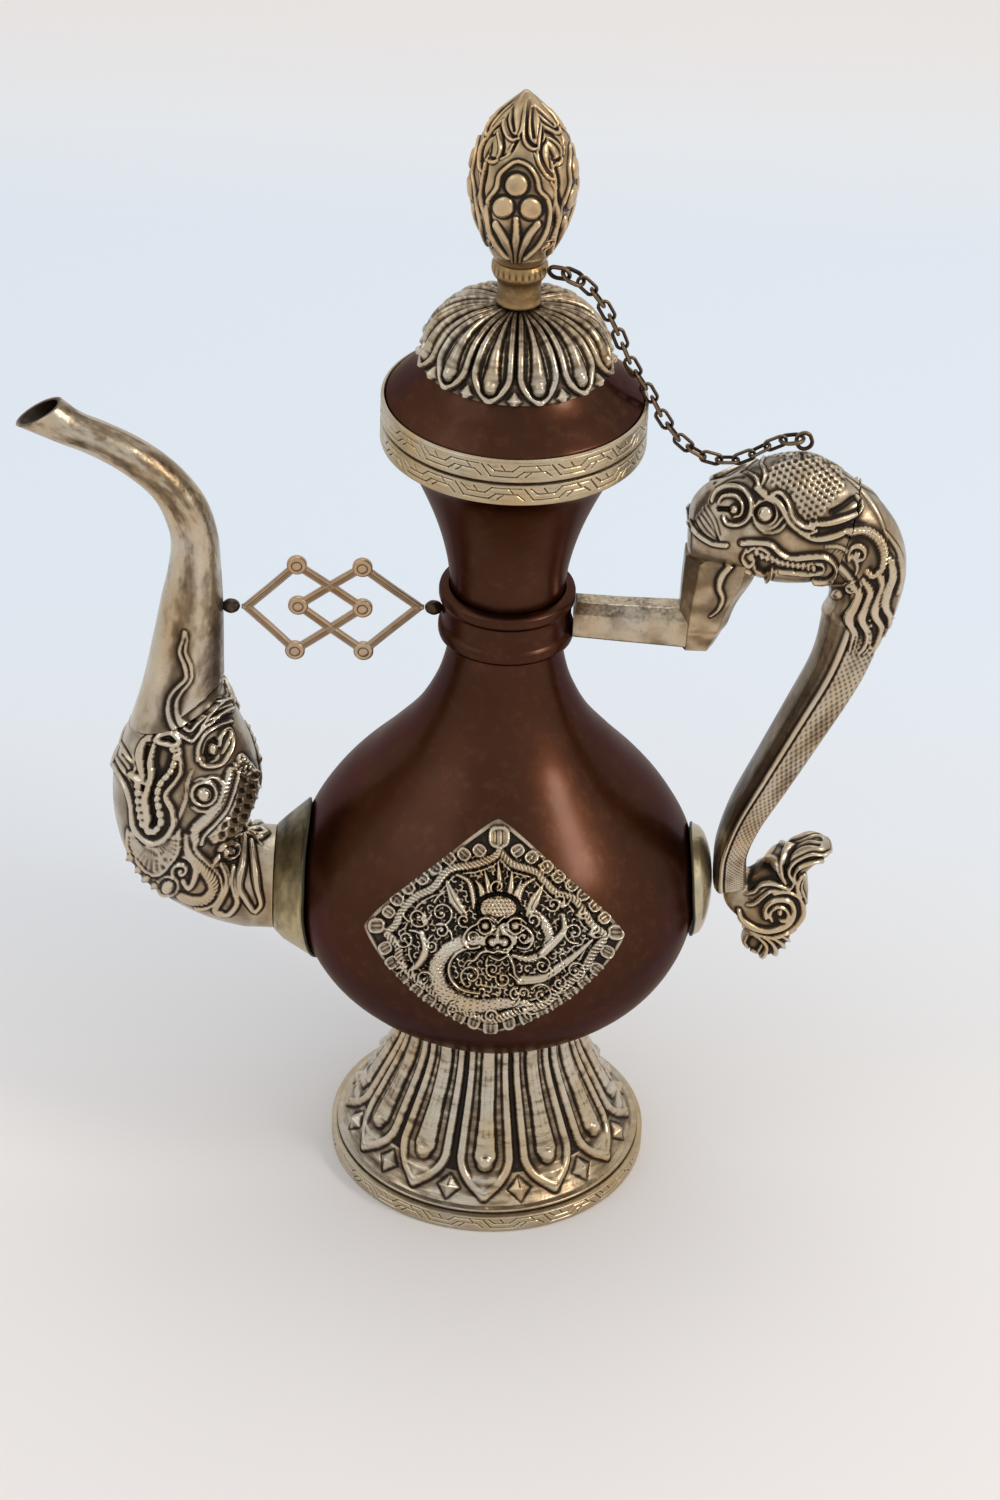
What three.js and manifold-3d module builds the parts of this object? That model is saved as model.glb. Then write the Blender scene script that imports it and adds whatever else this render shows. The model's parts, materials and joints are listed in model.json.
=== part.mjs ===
// Himalayan copper ewer with white-metal mounts: lotus foot, round belly, makara spout and handle,
// openwork strut, and a chained lid with a lotus cap and a flame finial.
// Millimetres, +Z up, origin at the centre of the foot's underside, spout towards -X, handle towards +X.

import * as THREE from 'three';
import { mergeVertices } from 'three/addons/utils/BufferGeometryUtils.js';
import Module from 'manifold-3d';

const wasm = await Module();
wasm.setup();

// Driving dimensions
const GAP = 0.3;
const SKIN_CLEAR = 0.6;
const SHEET = 1.4;
const PETALS = 12;
const PITCH = 2 * Math.PI / PETALS;
const ROUND_SIDES = 32;
const BAND_SIDES = 48;

const RIM_RADIUS = 45;
const RIM_TOP = 5.2;
const FOOT_TOP = 45.4;

const NECK_RADIUS = 15.2;
const COLLAR_BOTTOM = 172;
const COLLAR_TOP = 187.5;
const COLLAR_RADIUS = 17.3;
const NECK_JOINT = 180;

const MOUTH_RADIUS = 34.6;
const MOUTH_BOTTOM = 231.6;
const LID_SEAT = 238.2;
const LID_BAND_TOP = 244.8;
const SLEEVE_RADIUS = 27;
const SLEEVE_DEPTH = 8.4;

const SPOUT_ROOT_X = -61.2;
const SPOUT_ROOT_Z = 88.5;
const FLANGE_RADIUS = 22.3;
const FLANGE_RIM = 2;
const SPOUT_HOLE = 9;
const SPOUT_BORE = 10.4;
const SPOUT_WALL = 1.5;
const HEAD_WALL = 2.2;

const ARM_Z = 177;
const BOSS_Z = 93;
const BOSS_RADIUS = 16;
const BOSS_APEX = 59.3;
const TAIL_THICK = 12;

const PLAQUE_TOP = 134;
const PLAQUE_BOTTOM = 80;
const PLAQUE_MIDDLE = 104;
const PLAQUE_HALF_ANGLE = 39.3 * Math.PI / 180;
const PLAQUE_BULGE_ABOVE = 1.35;
const PLAQUE_BULGE_BELOW = 1.15;

const STRUT_THICK = 1.8;
const STRUT_BAR = 2.1;
const STRUT_DISC = 2.7;
const STRUT_BALL = 1.8;

const FINIAL_HOLE = 2.2;
const HEIGHT = 330;

const LINK_COUNT = 19;
const LINK_WIRE = 0.5;
const LINK_HALF_WIDTH = 1.4;
const LINK_PLAY = 0.15;
const RING_WIRE = 0.6;
const RING_HALF_WIDTH = 2.2;
const EYE_HALF_WIDTH = 1.9;
const RING_TILT = 0.35;

// Outlines as [radius or x, height]
const BELLY_OUTLINE = [
  [6, 43.4], [17, 44.4], [26, 47.2], [31.5, 51], [37.8, 56.8], [44.6, 63.6], [50.2, 71], [54, 79], [55.9, 88],
  [55.7, 95], [53.6, 105], [49, 114], [43.2, 122], [34.4, 132], [24.8, 144], [18.6, 156], [15.8, 166],
  [NECK_RADIUS, 173],
];
const TRUMPET_OUTLINE = [
  [NECK_RADIUS, 187], [16.3, 196], [18.8, 206], [22.5, 216], [26.8, 225], [30.4, 229.8], [32.3, 231.4],
];
const FOOT_OUTLINE = [
  [23.6, FOOT_TOP], [24, 42], [25.6, 36], [28.2, 30], [31, 24], [34, 18], [37, 12.5], [39.6, 8.6], [41.8, 6.4],
];
const DOME_OUTLINE = [
  [33.2, LID_BAND_TOP], [32, 246.2], [29.4, 248.6], [26.2, 251.4], [23.6, 254.6], [22, 258.2], [20.6, 262],
  [17.6, 265.8], [12.5, 268.2], [6, 268.9],
];
const FLAME_OUTLINE = [
  [6.6, 284.4], [8.6, 288], [11.4, 294], [13.4, 301], [13.8, 307], [12.6, 313.5], [9.6, 320], [5.4, 325.6],
  [0.8, HEIGHT],
];

const silver = { color: 0xc8c0ae, roughness: 0.32, metalness: 1 };
const copper = { color: 0x4f2418, roughness: 0.38, metalness: 0.75 };
const gilt = { color: 0xb59a62, roughness: 0.35, metalness: 1 };
const bronze = { color: 0x4c4034, roughness: 0.45, metalness: 0.9 };

const ewer = new THREE.Group();

function add(name, geometry, finish) {
  const mesh = new THREE.Mesh(geometry, new THREE.MeshStandardMaterial(finish));
  mesh.name = name;
  ewer.add(mesh);
  return mesh;
}

function vec(x, y, z) {
  return new THREE.Vector3(x, y, z);
}

function smooth(outline, steps) {
  const curve = new THREE.SplineCurve(outline.map(([a, b]) => new THREE.Vector2(a, b)));
  return curve.getPoints(steps);
}

function flat(outline) {
  return outline.map(([a, b]) => new THREE.Vector2(a, b));
}

// The outline moved to its right by a distance, square to its run.
function offset(points, distance) {
  return points.map((p, i) => {
    const before = points[Math.max(i - 1, 0)];
    const after = points[Math.min(i + 1, points.length - 1)];
    const run = after.clone().sub(before).normalize();
    return new THREE.Vector2(p.x + run.y * distance, p.y - run.x * distance);
  });
}

function signedVolume(points, index) {
  let volume = 0;
  for (let i = 0; i < index.length; i += 3) {
    const cross = points[index[i + 1]].clone().cross(points[index[i + 2]]);
    volume += points[index[i]].dot(cross) / 6;
  }
  return volume;
}

// One closed solid through equal rings of points: looped like a torus, or capped at both ends.
function ringSolid(rings, looped = false) {
  const count = rings[0].length;
  const points = rings.flat();
  const index = [];
  const joins = looped ? rings.length : rings.length - 1;
  for (let i = 0; i < joins; i++) {
    const next = (i + 1) % rings.length;
    for (let j = 0; j < count; j++) {
      const k = (j + 1) % count;
      const [a, b, c, d] = [i * count + j, i * count + k, next * count + k, next * count + j];
      index.push(a, b, c, a, c, d);
    }
  }
  if (!looped) {
    for (const [ring, turned] of [[0, true], [rings.length - 1, false]]) {
      const middle = vec(0, 0, 0);
      rings[ring].forEach((p) => middle.addScaledVector(p, 1 / count));
      points.push(middle);
      for (let j = 0; j < count; j++) {
        const pair = [ring * count + j, ring * count + (j + 1) % count];
        if (turned) pair.reverse();
        index.push(pair[0], pair[1], points.length - 1);
      }
    }
  }
  if (signedVolume(points, index) < 0) index.reverse();
  const geometry = new THREE.BufferGeometry().setFromPoints(points);
  geometry.setIndex(index);
  geometry.computeVertexNormals();
  return geometry;
}

function circle(radius, z, sides, start = Math.PI / sides) {
  return Array.from({ length: sides }, (_, j) => {
    const angle = start + j * 2 * Math.PI / sides;
    return vec(radius * Math.cos(angle), radius * Math.sin(angle), z);
  });
}

function turned(outline, sides = ROUND_SIDES, looped = true) {
  return ringSolid(outline.map((p) => circle(p.x, p.y, sides)), looped);
}

function toManifold(geometry) {
  const bare = geometry.clone();
  bare.deleteAttribute('normal');
  bare.deleteAttribute('uv');
  const merged = mergeVertices(bare, 1e-4);
  return new wasm.Manifold(new wasm.Mesh({
    numProp: 3,
    vertProperties: new Float32Array(merged.attributes.position.array),
    triVerts: new Uint32Array(merged.index.array),
  }));
}

function fromManifold(solid) {
  const mesh = solid.getMesh();
  const geometry = new THREE.BufferGeometry();
  geometry.setAttribute('position', new THREE.BufferAttribute(mesh.vertProperties, 3));
  geometry.setIndex(new THREE.BufferAttribute(mesh.triVerts, 1));
  return geometry;
}

function joined(geometries) {
  return fromManifold(geometries.map(toManifold).reduce((whole, piece) => whole.add(piece)));
}

function cut(geometry, ...tools) {
  return fromManifold(tools.reduce((whole, tool) => whole.subtract(toManifold(tool)), toManifold(geometry)));
}

function cylinderAlongX(radius, x0, x1, z) {
  const geometry = new THREE.CylinderGeometry(radius, radius, x1 - x0, 28);
  geometry.rotateZ(Math.PI / 2);
  return geometry.translate((x0 + x1) / 2, 0, z);
}

function cylinderAlongZ(radius, z0, z1, sides = 28) {
  const geometry = new THREE.CylinderGeometry(radius, radius, z1 - z0, sides);
  geometry.rotateX(Math.PI / 2);
  return geometry.translate(0, 0, (z0 + z1) / 2);
}

function bead(x, y, z, radius) {
  return new THREE.SphereGeometry(radius, 8, 6).translate(x, y, z);
}

// A round eye or curl: a rim, a groove and a raised middle, sunk into the surface below it.
function button(centre, radius, facing, depth = 4) {
  const outline = [[1, -depth / radius], [1, 0.15], [0.62, 0.1], [0.5, 0.4], [0.2, 0.55]];
  const geometry = turned(flat(outline.map(([r, z]) => [r * radius, z * radius])), 10, false);
  geometry.applyQuaternion(new THREE.Quaternion().setFromUnitVectors(vec(0, 0, 1), facing.clone().normalize()));
  return geometry.translate(centre.x, centre.y, centre.z);
}

// A round horn or lock of hair along a curve, with its radius at each end and in the middle.
function horn(points, radii, steps = 6, sides = 5) {
  const curve = new THREE.CatmullRomCurve3(points);
  const frames = curve.computeFrenetFrames(steps, false);
  const rings = [];
  for (let i = 0; i <= steps; i++) {
    const t = i / steps;
    const radius = t < 0.5
      ? THREE.MathUtils.lerp(radii[0], radii[1], 2 * t)
      : THREE.MathUtils.lerp(radii[1], radii[2], 2 * t - 1);
    const middle = curve.getPoint(t);
    rings.push(Array.from({ length: sides }, (_, j) => {
      const angle = j * 2 * Math.PI / sides;
      return middle.clone()
        .addScaledVector(frames.normals[i], radius * Math.cos(angle))
        .addScaledVector(frames.binormals[i], radius * Math.sin(angle));
    }));
  }
  return ringSolid(rings);
}

// Both of a pair of pieces, the second mirrored in the plane y = 0.
function mirrored(geometry) {
  const other = geometry.clone();
  other.scale(1, -1, 1);
  const index = Array.from(other.index.array);
  for (let i = 0; i < index.length; i += 3) {
    [index[i], index[i + 1]] = [index[i + 1], index[i]];
  }
  other.setIndex(index);
  return [geometry, other];
}

// Belly surface
const bellyDense = smooth(BELLY_OUTLINE, 240);

function bellyRadius(z) {
  const above = Math.max(1, bellyDense.findIndex((p) => p.y >= z));
  const [low, high] = [bellyDense[above - 1], bellyDense[above]];
  return THREE.MathUtils.mapLinear(z, low.y, high.y, low.x, high.x);
}

// A point over the belly at a heading round the axis, lifted square to the surface.
function onBelly(heading, z, lift) {
  const slope = bellyRadius(z + 0.5) - bellyRadius(z - 0.5);
  const length = Math.hypot(1, slope);
  const radius = bellyRadius(z) + lift / length;
  return vec(radius * Math.cos(heading), radius * Math.sin(heading), z - lift * slope / length);
}

// A ring of points at a distance round a level axis that meets the belly's side, over the belly.
function ringOnSide(side, centreZ, radius, lift, sides) {
  return Array.from({ length: sides }, (_, j) => {
    const angle = (j + 0.5) * 2 * Math.PI / sides;
    const [y, z] = [radius * Math.cos(angle), centreZ + radius * Math.sin(angle)];
    return vec(side * (Math.sqrt(bellyRadius(z) ** 2 - y * y) + lift), y, z);
  });
}

function ringAcross(x, centreZ, radius, sides) {
  return Array.from({ length: sides }, (_, j) => {
    const angle = (j + 0.5) * 2 * Math.PI / sides;
    return vec(x, radius * Math.cos(angle), centreZ + radius * Math.sin(angle));
  });
}

// Corners of a petal's cross-section, as shares of the way from its middle to half way to the next petal:
// the spear's top and foot, the far side of the sunk channel, the rim's crest and the groove between petals.
const PETAL_CORNERS = [0.2, 0.3, 0.6, 0.78, 1];
const [SPEAR_HALF, , , RIM_CREST] = PETAL_CORNERS;
const SPEAR_END = 0.78;
const PETAL_SHOULDER = 0.72;

// How much of its full width a petal has at a share of its length
function petalWidth(down) {
  if (down < PETAL_SHOULDER) return 1;
  return Math.sqrt(Math.max(0, 1 - ((down - PETAL_SHOULDER) / (1 - PETAL_SHOULDER)) ** 2));
}

// Lift of the lotus surface, across a petal's pitch and down its length
function petalLift(across, down, height) {
  const rim = RIM_CREST * petalWidth(down);
  if (across > RIM_CREST && down > 0.84 && down < 0.97) return 1.8 * height;
  if (across > rim + 0.05) return -0.4 * height;
  if (across > rim - 0.16) return 1.15 * height;
  if (across <= SPEAR_HALF && down < SPEAR_END) return 1.3 * height;
  return 0.1 * height;
}

// Headings of the solid's columns, petal after petal
function petalColumns(firstPetal) {
  const shares = [...PETAL_CORNERS.slice(0, -1).map((a) => -a).reverse(), ...PETAL_CORNERS];
  const columns = [];
  for (let k = 0; k < PETALS; k += 1) {
    shares.forEach((share) => columns.push({ share: Math.abs(share), angle: firstPetal + (k + share / 2) * PITCH }));
  }
  return columns;
}

function lotusRings(points, height, firstPetal) {
  const count = points.length;
  const columns = petalColumns(firstPetal);
  return points.map((p, i) => {
    const before = points[Math.max(i - 1, 0)];
    const after = points[Math.min(i + 1, count - 1)];
    const run = after.clone().sub(before).normalize();
    const down = i / (count - 1);
    return columns.map(({ share, angle }) => {
      const lift = i > 0 && down < 1 ? petalLift(share, down, height) : 0;
      const radius = p.x - run.y * lift;
      return vec(radius * Math.cos(angle), radius * Math.sin(angle), p.y + run.x * lift);
    });
  });
}

// A level ring with the lotus surface's own columns
function lotusCircle(radius, z, firstPetal) {
  return petalColumns(firstPetal).map(({ angle }) => vec(radius * Math.cos(angle), radius * Math.sin(angle), z));
}

function buildFoot() {
  add('base_plate', turned(flat([[4, 0], [41.9, 0], [41.9, 1.2], [4, 1.2]]), ROUND_SIDES, false), copper);
  const band = [[42.2, 0], [RIM_RADIUS, 0], [RIM_RADIUS, 4.7], [44.5, RIM_TOP], [42.2, RIM_TOP]];
  add('foot_rim_band', turned(flat(band), BAND_SIDES), silver);
  const outer = smooth(FOOT_OUTLINE, 10);
  const inner = offset(smooth(FOOT_OUTLINE.slice(0, -1), 3), SHEET);
  const seat = RIM_TOP + GAP;
  const start = -Math.PI / 2;
  const ledge = [[43.4, 6], [43.4, seat], [39.8, seat]];
  const rings = [
    ...lotusRings(outer, 1.1, start),
    ...ledge.map(([r, z]) => lotusCircle(r, z, start)),
    ...inner.reverse().map((p) => lotusCircle(p.x, Math.max(p.y, seat + 1.2), start)),
  ];
  add('foot_shell', ringSolid(rings, true), silver);
  add('foot_collar', turned(flat([[19.6, 38.6], [21.6, 38.6], [21.6, 44.4], [19.6, 44]])), copper);
}

function buildBody() {
  const outer = [...smooth(BELLY_OUTLINE, 15), new THREE.Vector2(NECK_RADIUS, NECK_JOINT - GAP)];
  const inner = [...offset(smooth(BELLY_OUTLINE, 9), -SHEET),
    new THREE.Vector2(NECK_RADIUS - SHEET, NECK_JOINT - GAP)];
  const shell = turned([...outer, ...inner.reverse()], ROUND_SIDES, false);
  add('body_shell', cut(shell, cylinderAlongX(SPOUT_HOLE, -62, -40, SPOUT_ROOT_Z)), copper);

  const wall = smooth(TRUMPET_OUTLINE, 5);
  const top = LID_SEAT - GAP;
  const lip = 32.7;
  const outside = [...flat([[NECK_RADIUS, NECK_JOINT]]), ...wall, ...flat([[lip, 232.2], [lip, top]])];
  const inside = [...flat([[NECK_RADIUS - SHEET, NECK_JOINT]]), ...offset(wall, -SHEET),
    ...flat([[lip - SHEET, 233], [lip - SHEET, top]])];
  add('neck_trumpet', turned([...outside, ...inside.reverse()]), copper);

  const bead = [[NECK_RADIUS + GAP, 0], [COLLAR_RADIUS + 0.9, 0.8], [COLLAR_RADIUS + 0.7, 1.8], [COLLAR_RADIUS, 2.4]];
  const collar = [...bead.map(([r, rise]) => [r, COLLAR_BOTTOM + rise]),
    ...bead.map(([r, drop]) => [r, COLLAR_TOP - drop]).reverse()];
  add('neck_collar', turned(flat(collar)), copper);

  const band = [[lip + GAP, MOUTH_BOTTOM + 0.6], [MOUTH_RADIUS, MOUTH_BOTTOM], [MOUTH_RADIUS, top], [lip + GAP, top]];
  add('mouth_band', turned(flat(band), BAND_SIDES), silver);
}

// A curved-sided lozenge plate that lies on the belly, its middle raised for the carved figure.
function plaque() {
  const sides = 24;
  const outline = Array.from({ length: sides }, (_, j) => {
    const angle = j * 2 * Math.PI / sides;
    const [c, s] = [Math.cos(angle), Math.sin(angle)];
    const power = s > 0 ? PLAQUE_BULGE_ABOVE : PLAQUE_BULGE_BELOW;
    const reach = 1 / (Math.abs(c) ** power + Math.abs(s) ** power) ** (1 / power);
    return [c * reach * PLAQUE_HALF_ANGLE, s * reach];
  });
  const ring = (scale, lift) => outline.map(([turn, rise]) => {
    const half = rise > 0 ? PLAQUE_TOP - PLAQUE_MIDDLE : PLAQUE_MIDDLE - PLAQUE_BOTTOM;
    return onBelly(turn * scale - Math.PI / 2, PLAQUE_MIDDLE + rise * scale * half, lift);
  });
  const back = SKIN_CLEAR;
  return ringSolid([ring(0.1, back), ring(0.4, back), ring(0.7, back), ring(1, back), ring(1, back + 0.8),
    ring(0.86, back + 1), ring(0.76, back + 1.8), ring(0.5, back + 2.1), ring(0.15, back + 2.5)]);
}

function buildPlaques() {
  add('front_plaque', plaque(), silver);
  add('back_plaque', plaque().rotateZ(Math.PI), silver);
}

// A ring of points between two rail points in the plane y = 0, half as wide as said across it.
function railRing([[ax, az], [bx, bz], half], sides, shrink = 0) {
  const reach = Math.hypot(ax - bx, az - bz) / 2;
  const inPlane = (reach - shrink) / reach;
  return Array.from({ length: sides }, (_, j) => {
    const angle = (j + 0.5) * 2 * Math.PI / sides;
    const along = Math.cos(angle) * inPlane / 2;
    const x = (ax + bx) / 2 + (ax - bx) * along;
    const z = (az + bz) / 2 + (az - bz) * along;
    return vec(x, (half - shrink) * Math.sin(angle), z);
  });
}

// How far inside its skin a station's bore lies: the wall, or more where the section is wider than the bore.
function boreShrink([[ax, az], [bx, bz], half], wall) {
  const reach = Math.min(Math.hypot(ax - bx, az - bz) / 2, half);
  return Math.max(wall, reach - SPOUT_BORE);
}

// A tube or a hollow head: its outside through the stations, then its bore back again.
function hollowLoft(stations, sides, wall) {
  const outside = stations.map((station) => railRing(station, sides));
  const inside = stations.map((station) => railRing(station, sides, boreShrink(station, wall)));
  return ringSolid([...outside, ...inside.reverse()], true);
}

// Stations run from the root to the tip: [side towards the neck, side away from it, half width]
const HEAD_STATIONS = [
  [[SPOUT_ROOT_X - GAP, 102.9], [SPOUT_ROOT_X - GAP, 74.1], 14.4],
  [[-70, 103.6], [-71, 74.4], 14.6],
  [[-72.5, 106.5], [-81, 77.6], 15.5],
  [[-70, 111], [-93, 85], 17.5],
  [[-67, 117], [-102, 96], 19],
  [[-66.3, 123], [-105.8, 109], 19.5],
  [[-67.3, 129.5], [-106.1, 122], 19],
  [[-69.5, 136.5], [-104.3, 129.5], 17],
  [[-73, 145], [-103, 134.5], 15],
  [[-75.1, 150.5], [-101.6, 138.5], 13.5],
];
const TUBE_STATIONS = [
  [[-75.3, 151.2], [-101.2, 139.4], 13.2],
  [[-75.5, 158], [-97.6, 152], 11],
  [[-75.5, 168], [-94.2, 168.5], 9.4],
  [[-75.6, 178], [-92.3, 178.6], 8.4],
  [[-76.1, 189], [-90.2, 188.4], 7.1],
  [[-76.9, 199], [-89.4, 197.5], 6.3],
  [[-79.4, 208], [-91.3, 205.3], 6],
  [[-83.7, 215], [-94.2, 210.8], 5.7],
  [[-89.7, 221.4], [-98.6, 215.2], 5.4],
  [[-97.2, 226.8], [-104.3, 219.4], 5.2],
  [[-105.6, 231], [-111.4, 223.2], 5],
  [[-112.2, 233.8], [-118.4, 226], 5.1],
  [[-117, 237.6], [-129.4, 230.6], 5.5],
];

function spoutFeatures() {
  const eyes = mirrored(button(vec(-80, 15.6, 127), 4, vec(0.3, 1, 0.1)));
  const nostrils = mirrored(button(vec(-77.5, 12.4, 140), 3.8, vec(0.45, 1, 0.1)));
  const cheeks = mirrored(button(vec(-76, 17.6, 107), 3.6, vec(0.3, 1, -0.1)));
  const brows = mirrored(horn([vec(-86, 17.6, 116), vec(-77, 16.6, 118.5), vec(-71.5, 12.5, 127), vec(-71.5, 9, 134)],
    [1.2, 2, 1]));
  const lips = mirrored(horn([vec(-102, 5, 131), vec(-96, 13.5, 126), vec(-89, 17.2, 122), vec(-86, 16, 132),
    vec(-83, 13.6, 144)], [1.2, 1.6, 1]));
  const locks = mirrored(horn([vec(-82, 17.8, 102), vec(-77, 17, 96), vec(-72, 15, 89), vec(-70, 13.6, 82)],
    [1.4, 1.6, 0.7]));
  return [...eyes, ...nostrils, ...brows, ...cheeks, ...lips, ...locks];
}

function buildSpout() {
  const sides = 28;
  const flange = [
    ...[SPOUT_BORE, 16, FLANGE_RADIUS].map((r) => ringOnSide(-1, SPOUT_ROOT_Z, r, SKIN_CLEAR, sides)),
    ringOnSide(-1, SPOUT_ROOT_Z, FLANGE_RADIUS, SKIN_CLEAR + FLANGE_RIM, sides),
    ringAcross(-58.6, SPOUT_ROOT_Z, 17.4, sides),
    ringAcross(SPOUT_ROOT_X, SPOUT_ROOT_Z, 14.9, sides),
    ringAcross(SPOUT_ROOT_X, SPOUT_ROOT_Z, SPOUT_BORE, sides),
  ];
  add('spout_flange', ringSolid(flange, true), silver);
  const head = hollowLoft(HEAD_STATIONS, 18, HEAD_WALL);
  const bore = ringSolid(HEAD_STATIONS.map((station) => railRing(station, 18, boreShrink(station, HEAD_WALL))));
  add('spout_head', cut(joined([head, ...spoutFeatures()]), bore), silver);
  add('spout_tube', hollowLoft(TUBE_STATIONS, 14, SPOUT_WALL), silver);
}

// A flat rhombus frame in the plane y = 0, from its left, top, right and bottom corners.
function rhombus(corners) {
  const centre = corners.reduce((sum, [x, z]) => [sum[0] + x / 4, sum[1] + z / 4], [0, 0]);
  const scaled = (factor) => corners.map(([x, z]) => new THREE.Vector2(
    centre[0] + (x - centre[0]) * factor, centre[1] + (z - centre[1]) * factor));
  const half = (corners[2][0] - corners[0][0]) / 2;
  const rise = (corners[1][1] - corners[3][1]) / 2;
  const inset = STRUT_BAR / 2 * Math.hypot(half, rise) / (half * rise);
  const frame = new THREE.Shape(scaled(1 + inset));
  frame.holes.push(new THREE.Path(scaled(1 - inset).reverse()));
  return upright(frame, STRUT_THICK);
}

// A flat shape drawn in x and z, given a thickness along y and centred on y = 0.
function upright(shape, thickness, options = {}) {
  const geometry = new THREE.ExtrudeGeometry(shape, { depth: thickness, bevelEnabled: false, ...options });
  geometry.translate(0, 0, -thickness / 2);
  geometry.rotateX(Math.PI / 2);
  return geometry;
}

function buildStrut() {
  const left = [[-69.3, 177], [-56, 190.6], [-38.4, 177.9], [-56.4, 163.8]];
  const right = [[-55.6, 178], [-38.6, 190.6], [-23.4, 178.9], [-38, 164.4]];
  const discs = [left[1], left[2], left[3], right[0], right[1], right[3]].map(([x, z]) => {
    const disc = new THREE.CylinderGeometry(STRUT_DISC, STRUT_DISC, STRUT_THICK + 0.5, 12);
    return disc.translate(x, 0, z);
  });
  add('spout_strut', joined([rhombus(left), rhombus(right), ...discs]), gilt);
  add('strut_ball_spout', bead(-73.4, 0, 177, STRUT_BALL), bronze);
  add('strut_ball_neck', bead(-19.5, 0, 178.9, STRUT_BALL), bronze);
}

// An eight-sided section between two rail points: straight sides with broad chamfers.
function chamferedRing([[ax, az], [bx, bz], half]) {
  const corners = [[1, 0.45], [0.55, 1], [-0.55, 1], [-1, 0.45], [-1, -0.45], [-0.55, -1], [0.55, -1], [1, -0.45]];
  return corners.map(([along, across]) => vec(
    (ax + bx) / 2 + (ax - bx) / 2 * along, across * half, (az + bz) / 2 + (az - bz) / 2 * along));
}

// The grip's section: flat sides, a slightly rounded back and a fuller rounded inner face.
function gripRing([[ix, iz], [ox, oz], half], bulge) {
  const length = Math.hypot(ox - ix, oz - iz);
  const [nx, nz] = [(ox - ix) / length, (oz - iz) / length];
  const section = [[-bulge, 0], [-bulge * 0.7, 0.5], [0, 1], [length * 0.5, 1.03], [length - 1.2, 1], [length, 0.8],
    [length + 0.6, 0.4], [length + 0.8, 0], [length + 0.6, -0.4], [length, -0.8], [length - 1.2, -1],
    [length * 0.5, -1.03], [0, -1], [-bulge * 0.7, -0.5]];
  return section.map(([out, across]) => vec(ix + nx * out, across * half, iz + nz * out));
}

// Stations run down the grip: [inner edge, outer edge, half width]
const GRIP_STATIONS = [
  [[85.2, 195.4], [91, 221.2], 9.2],
  [[87, 192.8], [98, 214.8], 9],
  [[88.3, 190.2], [102.6, 206.5], 8.8],
  [[88.9, 187.4], [104.2, 197.5], 8.6],
  [[88.9, 184.4], [103, 187.5], 8.5],
  [[88.2, 179.5], [99.6, 177.6], 8.3],
  [[84.7, 166.9], [95, 163.7], 8.1],
  [[77.5, 149.8], [86.8, 146], 8],
  [[70.2, 132.7], [78.4, 128.8], 8],
  [[64.2, 118.1], [72.2, 116.4], 7.8],
  [[61.2, 106], [69, 107], 7.6],
  [[61, 98.5], [68.7, 99.5], 7.4],
  [[62.4, 93.6], [69.2, 95.2], 7.2],
];
const HANDLE_HEAD_STATIONS = [
  [[46.9, 212], [46.9, 201.6], 4.5],
  [[48.3, 216], [48, 199.4], 6.3],
  [[52, 220], [52, 199.2], 7.8],
  [[57.5, 223], [57.5, 199.2], 9],
  [[63.5, 226.3], [64, 199.1], 9.8],
  [[70, 228.8], [71, 198.8], 10.4],
  [[77, 229.4], [77.5, 198.8], 10.6],
  [[84, 226.4], [81.4, 198], 10],
  [[90.5, 221.7], [84.8, 196], 9.3],
];
const TAIL_OUTLINE = [
  [62.9, 92.6], [64.5, 86.6], [69.8, 81.6], [70.6, 79.2], [68.9, 75], [70.5, 70.5], [75, 68.2], [80, 70],
  [83, 74.5], [83.8, 78.4], [86.3, 83.5], [87.2, 91], [85.8, 98], [86.8, 100.6], [89.8, 102], [92, 105],
  [90.8, 108.4], [86.6, 109.2], [82.2, 106.8], [78, 103.6], [73.8, 101.4], [71, 98.4], [69.8, 94.2],
];

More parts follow.
